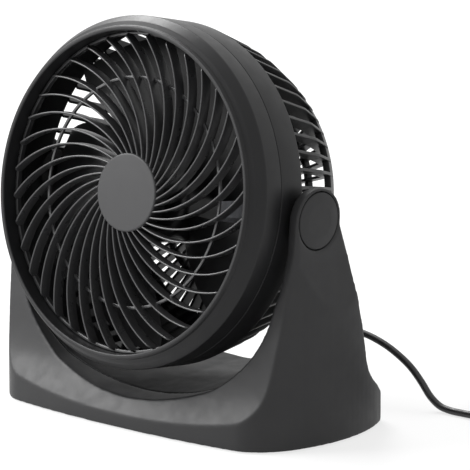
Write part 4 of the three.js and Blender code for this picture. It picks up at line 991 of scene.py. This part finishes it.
def make_front_ring():
    """The rounded lip and the flare behind it, down to the parting line."""
    inside = LIP_RADIUS - LIP_WIDTH
    rim_back = GRILLE_AHEAD + 0.3 - RIM_DEPTH - TOUCH_GAP
    profile = rounded([
        (inside, LIP_AHEAD, 1.2),
        (LIP_RADIUS + 0.4, LIP_AHEAD, 1.5),
        (LIP_RADIUS + 0.7, LIP_AHEAD - 3.2, 0.7),
        (LIP_RADIUS + 3.6, LIP_AHEAD - 5.2, 3),
        (HEAD_RADIUS, CREASE_AHEAD, 3.5),
        (SEAM_RADIUS, SEAM_AHEAD, 0.5),
        (SEAM_RADIUS - WALL, SEAM_AHEAD, 0.3),
        (HEAD_RADIUS - WALL, CREASE_AHEAD - 1, 2),
        (inside, rim_back, 0.6),
    ], steps=8)
    ring = mesh_object("head_front_ring", turned(profile, 216), HEAD)
    finished(ring, "head", HEAD_ABS, ["front_ring"], sharp=60)


def rib_shape(phase):
    """A swirling bar with a rounded front edge, from the disc to the rim."""
    outer = LIP_RADIUS - LIP_WIDTH - 0.35 - RIM_WIDTH / 2
    inner = DISC_RADIUS - 1.5
    steps = 30
    path = []
    for i in range(steps + 1):
        radius = outer - (outer - inner) * (i / steps) ** 1.5
        reach = (radius**2 + RIB_ARC_OFFSET**2 - RIB_ARC_RADIUS**2) / (2 * RIB_ARC_OFFSET * radius)
        angle = phase - math.acos(reach)
        path.append(Vector((radius * math.cos(angle), 0, radius * math.sin(angle))))
    half = RIB_THICKNESS / 2
    back = RIB_DEPTH - GRILLE_AHEAD
    section = rounded([(-half * 0.8, back, 0.2), (half * 0.8, back, 0.2),
                       (half * 0.75, -GRILLE_AHEAD, 0.6), (-half * 0.75, -GRILLE_AHEAD, 0.6)],
                      steps=3)
    rings = []
    for i, point in enumerate(path):
        along = (path[min(i + 1, steps)] - path[max(i - 1, 0)]).normalized()
        across = Vector((-along.z, 0, along.x))
        to_end = max(0, 1 - (outer - point.length) / RIB_END_LENGTH)
        shorten = 1 - RIB_END_DROP * to_end**2 / RIB_DEPTH
        rings.append([point + across * u + Vector((0, back + (v - back) * shorten, 0))
                      for u, v in section])
    return skin(rings, caps=True)


def ring_bar(radius, width, front, depth, edge=0.6):
    """A plain ring with rounded edges, as a turned shape."""
    profile = [(radius - width / 2, front, edge), (radius + width / 2, front, edge),
               (radius + width / 2, front - depth, edge), (radius - width / 2, front - depth, edge)]
    return turned(rounded(profile, steps=3), 180)


def make_front_grille():
    ribs = repeated(rib_shape(RIB_PHASE), RIB_COUNT, "Y")
    rim_radius = LIP_RADIUS - LIP_WIDTH - 0.35 - RIM_WIDTH / 2
    rim = ring_bar(rim_radius, RIM_WIDTH, GRILLE_AHEAD - RIB_END_DROP, RIM_DEPTH - RIB_END_DROP - 0.3)
    cross = ring_bar(CROSS_RING_RADIUS, CROSS_RING_WIDTH, GRILLE_AHEAD - CROSS_RING_BEHIND,
                     CROSS_RING_DEPTH, 0.5)
    grille = mesh_object("swirl_grille", joined(ribs, rim, cross), HEAD)
    finished(grille, "head", GRILLE_ABS, ["front_grille"], sharp=50)
    front = GRILLE_AHEAD + DISC_PROUD
    back = front - DISC_DEPTH
    profile = rounded([(0, front, 0), (DISC_RADIUS, front, 1.4), (DISC_RADIUS, back, 0.4),
                       (DISC_RADIUS - WALL, back, 0.4), (DISC_RADIUS - WALL, front - WALL, 1),
                       (0, front - WALL, 0)], closed=False, steps=8)
    disc = mesh_object("grille_centre_disc", turned(profile, 144, closed=False), HEAD)
    finished(disc, "head", DISC_ABS, ["front_grille"])


# ------------------------------------------------------------------ head: drum and rear fins
FIN_COUNT = 60
FIN_WIDTH = 2.3
FIN_DEPTH = 5.6
FIN_EXTRA_DEPTH = 3.4
FIN_PHASE = math.radians(4)
FIN_LINE = [
    # (radius, ahead, corner radius) along the fins' outer edges
    (SLOT_RADIUS, SLOT_AHEAD, 0), (109, -29, 40), (99, -49.5, 10), (93.5, -59.5, 10),
    (69, -65, 20), (65.4, -65.6, 2), (47, -67.4, 0),
]
COLLAR_OUTER = 47
COLLAR_INNER = 41.4
COLLAR_BACK = -67.4
COLLAR_FRONT = -56
SHOULDER_BAND = (96.3, 11.4, 4.6)  # radius, width and depth of the rings that tie the fins together
BACK_BAND = (67.2, 3.6, 4.6)
PAD_RADIUS = 14
PAD_INNER = 114
PAD_FACE = 121.5


def fin_path():
    """Points with their outward direction."""
    line = rounded(FIN_LINE, closed=False, steps=6)
    fine = []
    for start, end in zip(line, line[1:]):
        parts = max(1, round((end - start).length / 4))
        fine += [start.lerp(end, i / parts) for i in range(parts)]
    fine.append(line[-1])
    rows = []
    for i, point in enumerate(fine):
        before, after = fine[max(i - 1, 0)], fine[min(i + 1, len(fine) - 1)]
        run = (after - before).normalized()
        outwards = Vector((-run.y, run.x))
        rows.append((point, outwards))
    return rows


def fin_shape(rows):
    """A fin with a rounded outer edge, which gets deeper behind the blade."""
    half = FIN_WIDTH / 2
    section = rounded([(-half, 0, 0.9), (half, 0, 0.9), (half * 0.8, -1, 0.2),
                       (-half * 0.8, -1, 0.2)], steps=3)
    radial = Vector((math.cos(FIN_PHASE), 0, math.sin(FIN_PHASE)))
    across = Vector((-math.sin(FIN_PHASE), 0, math.cos(FIN_PHASE)))
    rings = []
    for point, outwards in rows:
        behind_blade = min(max((-point.y - 6) / 14, 0), 1)
        depth = FIN_DEPTH + FIN_EXTRA_DEPTH * behind_blade
        ring = []
        for u, v in section:
            v = v if v > -0.5 else v * depth
            radius = point.x + outwards.x * v
            ahead = point.y + outwards.y * v
            ring.append(radial * radius + across * u + Vector((0, -ahead, 0)))
        rings.append(ring)
    return skin(rings, caps=True)


def ring_on_fins(rows, radius, width, depth):
    """A ring set into the fins at a radius, a little below their outer edges."""
    point, outwards = min(rows, key=lambda row: abs(row[0].x - radius))
    run = Vector((-outwards.y, outwards.x))
    half = width / 2
    corners = []
    for along, out in ((-half, -0.7), (half, -0.7), (half, -0.7 - depth), (-half, -0.7 - depth)):
        place = point + run * along + outwards * out
        corners.append((place.x, place.y, 0.5))
    return turned(rounded(corners, steps=3), 180)


def make_rear_housing():
    rows = fin_path()
    shroud = turned(rounded([
        (SEAM_RADIUS, SEAM_AHEAD - TOUCH_GAP, 0.5),
        (SLOT_RADIUS, SLOT_AHEAD - 0.6, 1),
        (SLOT_RADIUS - WALL, SLOT_AHEAD - 0.6, 0.6),
        (SEAM_RADIUS - WALL, SEAM_AHEAD - TOUCH_GAP, 0.3),
    ], steps=4), 216)
    collar = turned(rounded([(COLLAR_OUTER, COLLAR_BACK, 0.8), (COLLAR_OUTER, COLLAR_FRONT, 0.6),
                             (COLLAR_INNER, COLLAR_FRONT, 0.6), (COLLAR_INNER, COLLAR_BACK, 0.6)]), 144)
    fins = repeated(fin_shape(rows), FIN_COUNT, "Y")
    shoulder = ring_on_fins(rows, *SHOULDER_BAND)
    back = ring_on_fins(rows, *BACK_BAND)
    pads = []
    for side in (1, -1):
        for radius, end in ((PAD_RADIUS, PAD_FACE), (STUB_RADIUS, CAP_SEAT)):
            turn = Matrix.Rotation(side * math.pi / 2, 4, "Y")
            rod = rounded([(0, PAD_INNER, 0), (radius, PAD_INNER, 0), (radius, end, 0.6), (0, end, 0)],
                          closed=False)
            pads.append(moved(upright_turned(rod, 72), turn))
    shape = joined(shroud, collar, fins, shoulder, back, *pads)
    housing = mesh_object("drum_and_rear_fins", shape, HEAD)
    finished(housing, "head", HEAD_ABS, ["rear_housing"], sharp=50)


# ------------------------------------------------------------------ blade, nut and shaft
HUB_RADIUS = 34
HUB_FRONT = 26
HUB_BACK = -9
HUB_WALL = 2.2
BLADE_COUNT = 5
BLADE_TIP = 108
BLADE_DEPTH = 27
BLADE_SPAN = 58
BLADE_SWEEP = 14
BLADE_PHASE = 28
BLADE_THICKNESS = 1.8
BLADE_MIDDLE = 9
BLADE_CAMBER = 2
SHAFT_RADIUS = 3


def blade_shape():
    """One blade, thickest along its middle, with rounded corners at its tip."""
    along_steps, chord_steps = 22, 20
    root = HUB_RADIUS - HUB_WALL / 2
    rings = []
    for i in range(along_steps + 1):
        share = i / along_steps
        radius = root + (BLADE_TIP - root) * share
        depth = BLADE_DEPTH * (1 - 0.18 * share)
        half_span = BLADE_SPAN / 2 * (1 - 0.22 * share**6)
        front, back = [], []
        for j in range(chord_steps + 1):
            chord = 2 * j / chord_steps - 1
            angle = math.radians(BLADE_PHASE + BLADE_SWEEP * share + half_span * chord)
            ahead = BLADE_MIDDLE + depth / 2 * chord - BLADE_CAMBER * (1 - chord * chord)
            half = BLADE_THICKNESS / 2 * (1 - 0.7 * chord**4) * (1 - 0.3 * share)
            x, z = radius * math.cos(angle), radius * math.sin(angle)
            front.append((x, -ahead - half, z))
            back.append((x, -ahead + half, z))
        rings.append(front + back[::-1])
    return skin(rings, caps=True)


def make_fan_blade():
    bore = SHAFT_RADIUS + 0.1
    boss = bore + 5
    hub = turned(rounded([
        (bore, HUB_FRONT, 0.3), (HUB_RADIUS, HUB_FRONT, 6), (HUB_RADIUS, HUB_BACK, 0.6),
        (HUB_RADIUS - HUB_WALL, HUB_BACK, 0.6), (HUB_RADIUS - HUB_WALL, HUB_FRONT - HUB_WALL, 4),
        (boss, HUB_FRONT - HUB_WALL, 0.8), (boss, HUB_FRONT - 16, 0.5), (bore, HUB_FRONT - 16, 0.3),
    ], steps=8), 120)
    blades = repeated(blade_shape(), BLADE_COUNT, "Y")
    blade = mesh_object("five_blade_impeller", joined(hub, blades), HEAD)
    finished(blade, "blade", BLADE_PP, ["fan_blade"], sharp=50)


def make_hub_nut():
    """The spinner nut, with grip flutes round it."""
    back = HUB_FRONT + TOUCH_GAP
    front = back + 7
    profile = rounded([(0, front, 0), (8, front, 2.5), (8, back, 0.3), (3.1, back, 0),
                       (3.1, back + 3.5, 0), (0, back + 3.5, 0)], closed=False, steps=6)
    shape = turned(profile, 96, closed=False)
    points, faces = shape
    fluted = []
    for point in points:
        out = math.hypot(point.x, point.z)
        wave = 0.5 - 0.5 * math.cos(12 * math.atan2(point.z, point.x))
        cut = 0.7 * wave * max(0, (out - 5) / 3)
        scale = (out - cut) / out if out > 5 else 1
        fluted.append(Vector((point.x * scale, point.y, point.z * scale)))
    nut = mesh_object("spinner_nut", (fluted, faces), HEAD)
    finished(nut, "blade", BLADE_PP, ["hub_nut"], sharp=50)


# ------------------------------------------------------------------ motor
STATOR_BACK = -46.7
STATOR_FRONT = -22.7
WINDING_RADIUS = 28
WINDING_BORE = 19.6
WINDING_REACH = 8.7
WIRE_RADIUS = 0.9


def winding_shape(start, end):
    """A bundle of copper turns round the stator's end, laced with cord."""
    middle = ((WINDING_RADIUS + WINDING_BORE) / 2, (start + end) / 2)
    half = ((WINDING_RADIUS - WINDING_BORE) / 2 - WIRE_RADIUS, abs(end - start) / 2 - WIRE_RADIUS)
    wires = []
    for i in range(14):
        angle = math.tau * i / 14
        radius = middle[0] + half[0] * math.cos(angle)
        ahead = middle[1] + half[1] * math.sin(angle)
        section = [(radius + u, ahead + v) for u, v in circle(WIRE_RADIUS, 8)]
        wires.append(turned(section, 72))
    core = turned([(middle[0] + half[0] * u, middle[1] + half[1] * v) for u, v in circle(1, 14)], 72)
    lacing = []
    loop = [(middle[0] + (half[0] + WIRE_RADIUS) * u, middle[1] + (half[1] + WIRE_RADIUS) * v)
            for u, v in circle(1, 24)]
    for i in range(18):
        angle = math.tau * i / 18
        turn = Matrix.Rotation(angle, 4, "Y")
        path = [turn @ Vector((r, -ahead, 0)) for r, ahead in [*loop, loop[0]]]
        side = turn @ Vector((0, 0, 1))
        lacing.append(swept(path, lambda share: circle(0.35, 6), up=side, caps=False))
    return joined(core, *wires), joined(*lacing)


def make_windings():
    ends = {"rear": (STATOR_BACK - TOUCH_GAP, STATOR_BACK - WINDING_REACH),
            "front": (STATOR_FRONT + TOUCH_GAP, STATOR_FRONT + WINDING_REACH)}
    for name, (start, end) in ends.items():
        copper, lacing = winding_shape(start, end)
        winding = mesh_object(f"winding_{name}", copper, HEAD)
        finished(winding, "head", COPPER, [f"motor_winding_{name}"])
        cord = mesh_object(f"winding_lacing_{name}", lacing, HEAD)
        finished(cord, "head", NYLON)


# ------------------------------------------------------------------ cover, knob and dial
KNOB_BACK = -86.3
KNOB_FRONT = -77.9
DIAL_RADIUS = 27
DIAL_STEP = math.radians(45)
FIGURE_HEIGHT = 5.5


def make_motor_cover():
    """A shallow turned cover with a soft edge and a raised ring round the dial."""
    bore = 3.6
    wall = COVER_RADIUS - WALL
    profile = rounded([
        (bore, COVER_BACK, 0.2), (19.2, COVER_BACK, 0), (19.4, COVER_BACK + 0.35, 0.1),
        (20.4, COVER_BACK + 0.35, 0.1), (20.6, COVER_BACK, 0), (COVER_RADIUS, COVER_BACK, 3.4),
        (COVER_RADIUS, COVER_FRONT, 0.4), (wall, COVER_FRONT, 0.3), (wall, COVER_BACK + WALL, 1.5),
        (bore, COVER_BACK + WALL, 0.2),
    ], steps=6)
    cover = mesh_object("motor_back_cover", turned(profile, 144), HEAD)
    finished(cover, "head", HEAD_ABS, ["motor_cover"])


def make_dial_figures():
    """0 to 3 round the knob, clockwise seen from behind, each with a tick."""
    turn_out = Matrix(((-1, 0, 0), (0, 0, 1), (0, 1, 0))).to_4x4()
    for figure in range(4):
        angle = figure * DIAL_STEP
        outwards = Vector((-math.sin(angle), 0, math.cos(angle)))
        text = bpy.data.curves.new(f"figure_{figure}", "FONT")
        text.body = str(figure)
        text.size = FIGURE_HEIGHT
        text.align_x = "CENTER"
        text.align_y = "CENTER"
        text.extrude = 0.08
        holder = bpy.data.objects.new("figure", text)
        bpy.context.scene.collection.objects.link(holder)
        settled = holder.evaluated_get(bpy.context.evaluated_depsgraph_get())
        flat = bpy.data.meshes.new_from_object(settled)
        place = Matrix.Translation(outwards * (DIAL_RADIUS + 3.4) + Vector((0, -COVER_BACK, 0)))
        points = [place @ turn_out @ vertex.co for vertex in flat.vertices]
        faces = [tuple(polygon.vertices) for polygon in flat.polygons]
        tick = block(-0.4, 0.4, -COVER_BACK - 0.1, -COVER_BACK + 0.08, 21.6, 24.4)
        tick = moved(tick, Matrix.Rotation(-angle, 4, "Y"))
        bpy.data.objects.remove(holder)
        mark = mesh_object(f"dial_figure_{figure}", joined((points, faces), tick), HEAD)
        finished(mark, "head", INK)


def make_speed_knob():
    """A round grip with twelve soft ribs and a groove that points at the figures."""
    sides = 144
    rows = [(0, 0), (12, 0), (15.4, 0.1), (16.4, 0.6), (17, 1.6), (17, 7.6), (16.6, 8.2), (15, 8.4),
            (0, 8.4)]
    rings = []
    for i in range(sides):
        angle = math.tau * i / sides
        wave = 0.5 + 0.5 * math.cos(12 * angle)
        ring = []
        for radius, ahead in rows:
            cut = 0.9 * (1 - wave**0.6) if radius > 15 else 0
            r = radius - cut
            ring.append((r * math.cos(angle), -KNOB_BACK - ahead, r * math.sin(angle)))
        rings.append(ring)
    knob = mesh_object("knob_grip", skin(rings, loop=True, closed=False), HEAD)
    groove = block(-0.9, 0.9, -KNOB_BACK - 0.6, -KNOB_BACK + 1, 4, 15)
    combined(knob, "DIFFERENCE", mesh_object("groove", groove, HEAD))
    line = mesh_object("knob_pointer", block(-0.7, 0.7, -KNOB_BACK - 0.6, -KNOB_BACK - 0.5, 4.2, 14.8), HEAD)
    finished(knob, "knob", KNOB_ABS, ["speed_knob"], sharp=40)
    finished(line, "knob", INK)
    stem = turned([(0, -70.9), (3, -70.9), (3, KNOB_FRONT - 0.5), (0, KNOB_FRONT - 0.5)], 48, closed=False)
    shaft = mesh_object("knob_stem", stem, HEAD)
    finished(shaft, "knob", KNOB_ABS)


# ------------------------------------------------------------------ screws and carried-over nodes
def cross_head_screw(top_radius, height, shank_radius, length):
    """A pan-head screw with a cross recess; the underside of its head is at height 0."""
    profile = rounded([(0, height, 0), (top_radius, height * 0.75, top_radius * 0.4), (top_radius, 0, 0.1),
                       (shank_radius, 0, 0), (shank_radius, -length + 1, 0), (0, -length, 0)],
                      closed=False, steps=5)
    body = mesh_object("screw", upright_turned(profile, 32))
    arm = 0.55 * top_radius
    for long, short in ((arm, 0.4), (0.4, arm)):
        cutter = block(-long, long, -short, short, height - 1, height + 1)
        combined(body, "DIFFERENCE", mesh_object("cross", cutter))
    points = [vertex.co / MM for vertex in body.data.vertices]
    faces = [tuple(polygon.vertices) for polygon in body.data.polygons]
    bpy.data.objects.remove(body)
    return points, faces


def make_screws():
    small = cross_head_screw(3.4, 2, 1.4, 12)
    upside_down = Matrix.Rotation(math.pi, 4, "X")
    for name, x, y, _ in tabs():
        if name.startswith("back"):
            continue
        place = Matrix.Translation((x, y, TAB_HEIGHT - TOUCH_GAP)) @ upside_down
        fastener = mesh_object(f"tab_screw_{name}", small, place)
        finished(fastener, "base", ZINC, [f"base_screw_{name}"])
    short = cross_head_screw(3.4, 2, 1.4, 4.7)
    backwards = Matrix.Rotation(-math.pi / 2, 4, "X")
    for i in range(4):
        angle = math.radians(45 + 90 * i)
        spot = Vector((25 * math.cos(angle), 60.4 + TOUCH_GAP, 25 * math.sin(angle)))
        fastener = mesh_object(f"plate_screw_{i + 1}", short, HEAD @ Matrix.Translation(spot) @ backwards)
        finished(fastener, "head", ZINC, [f"motor_screw_{i + 1}"])


CARRIED = {
    # material and the CAD nodes that keep their shape and take it
    "natural_nylon": (NYLON, ["friction_washer_left", "friction_washer_right", "speed_switch"]),
    "zinc_steel": (ZINC, ["pivot_washer_left", "pivot_washer_right", "pivot_screw_left",
                          "pivot_screw_right"]),
    "motor_steel": (STEEL, ["motor_stator", "motor_rear_bracket", "motor_front_bracket",
                            "rotor_shaft"]),
    "bronze": (BRONZE, ["rear_bearing", "front_bearing"]),
    "head_plastic": (HEAD_ABS, ["motor_plate", "ring_clip_top", "ring_clip_left",
                                "ring_clip_right"]),
}


def dress_carried_nodes():
    for material, names in CARRIED.values():
        for name in names:
            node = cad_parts[name]
            node.data.materials.clear()
            node.data.materials.append(material)


# ------------------------------------------------------------------ stage and light
FLOOR_SIZE = 12


def white_floor_material():
    """Matt white paper that mostly shows its own white to the eye, and a little of the shadow."""
    material, tree = new_material("white_paper")
    path = add(tree, "ShaderNodeLightPath")
    seen = add(tree, "ShaderNodeMath", {"operation": "MAXIMUM"},
               {0: path.outputs["Is Camera Ray"], 1: path.outputs["Is Glossy Ray"]})
    seen = add(tree, "ShaderNodeMath", {"operation": "MAXIMUM"},
               {0: seen.outputs[0], 1: path.outputs["Is Transmission Ray"]})
    share = add(tree, "ShaderNodeMath", {"operation": "MULTIPLY", 1: 0.72}, {0: seen.outputs[0]})
    paper = add(tree, "ShaderNodeBsdfDiffuse", {"Color": colour("#f4f4f4")})
    glow = add(tree, "ShaderNodeEmission", {"Color": (1, 1, 1, 1), "Strength": 1.0})
    mixed = {0: share.outputs[0], 1: paper.outputs[0], 2: glow.outputs[0]}
    mix = add(tree, "ShaderNodeMixShader", links=mixed)
    add(tree, "ShaderNodeOutputMaterial", links={"Surface": mix.outputs[0]})
    return material


def make_floor():
    half = FLOOR_SIZE / 2 / MM
    shape = ([Vector((x, y, 0)) for x, y in ((-half, -half), (half, -half), (half, half), (-half, half))],
             [(0, 1, 2, 3)])
    floor = mesh_object("floor", shape)
    floor.data.materials.append(white_floor_material())


def light_world():
    """Even surroundings, which are plain white where the eye or a reflection meets them."""
    world = bpy.data.worlds.new("surroundings")
    world.use_nodes = True
    tree = world.node_tree
    tree.nodes.clear()
    path = add(tree, "ShaderNodeLightPath")
    seen = add(tree, "ShaderNodeMath", {"operation": "MAXIMUM"},
               {0: path.outputs["Is Camera Ray"], 1: path.outputs["Is Glossy Ray"]})
    seen = add(tree, "ShaderNodeMath", {"operation": "MAXIMUM"},
               {0: seen.outputs[0], 1: path.outputs["Is Transmission Ray"]})
    fill = add(tree, "ShaderNodeBackground", {"Color": (1, 1, 1, 1), "Strength": 0.7})
    white = add(tree, "ShaderNodeBackground", {"Color": (1, 1, 1, 1), "Strength": 1.0})
    mixed = {0: seen.outputs[0], 1: fill.outputs[0], 2: white.outputs[0]}
    mix = add(tree, "ShaderNodeMixShader", links=mixed)
    add(tree, "ShaderNodeOutputWorld", links={"Surface": mix.outputs[0]})
    bpy.context.scene.world = world


def soft_box(name, azimuth, elevation, distance, size, power):
    """A square lamp that looks at the object from an azimuth and elevation in degrees."""
    lamp = bpy.data.objects.new(name, bpy.data.lights.new(name, "AREA"))
    lamp.data.shape = "SQUARE"
    lamp.data.size = size
    lamp.data.energy = power
    away = towards(math.radians(azimuth), math.radians(elevation))
    lamp.location = VIEW_TARGET + away * distance
    lamp.rotation_euler = (-away).to_track_quat("-Z", "Y").to_euler()
    bpy.context.scene.collection.objects.link(lamp)


def light_object():
    soft_box("key_left", -54, 34, 2.0, 1.2, 58)
    soft_box("front", -40, 3, 2.6, 1.0, 10)
    soft_box("top_left", -118, 44, 2.2, 1.0, 38)


# ------------------------------------------------------------------ putting it together
bpy.context.scene.view_settings.view_transform = "Standard"
place_camera()
make_cord([make_tie(), *make_plug()])
make_strain_relief()
make_base_shells()
make_feet()
make_pivot_caps()
make_front_ring()
make_front_grille()
make_rear_housing()
make_fan_blade()
make_hub_nut()
make_windings()
make_motor_cover()
make_dial_figures()
make_speed_knob()
make_screws()
dress_carried_nodes()
make_floor()
light_world()
light_object()
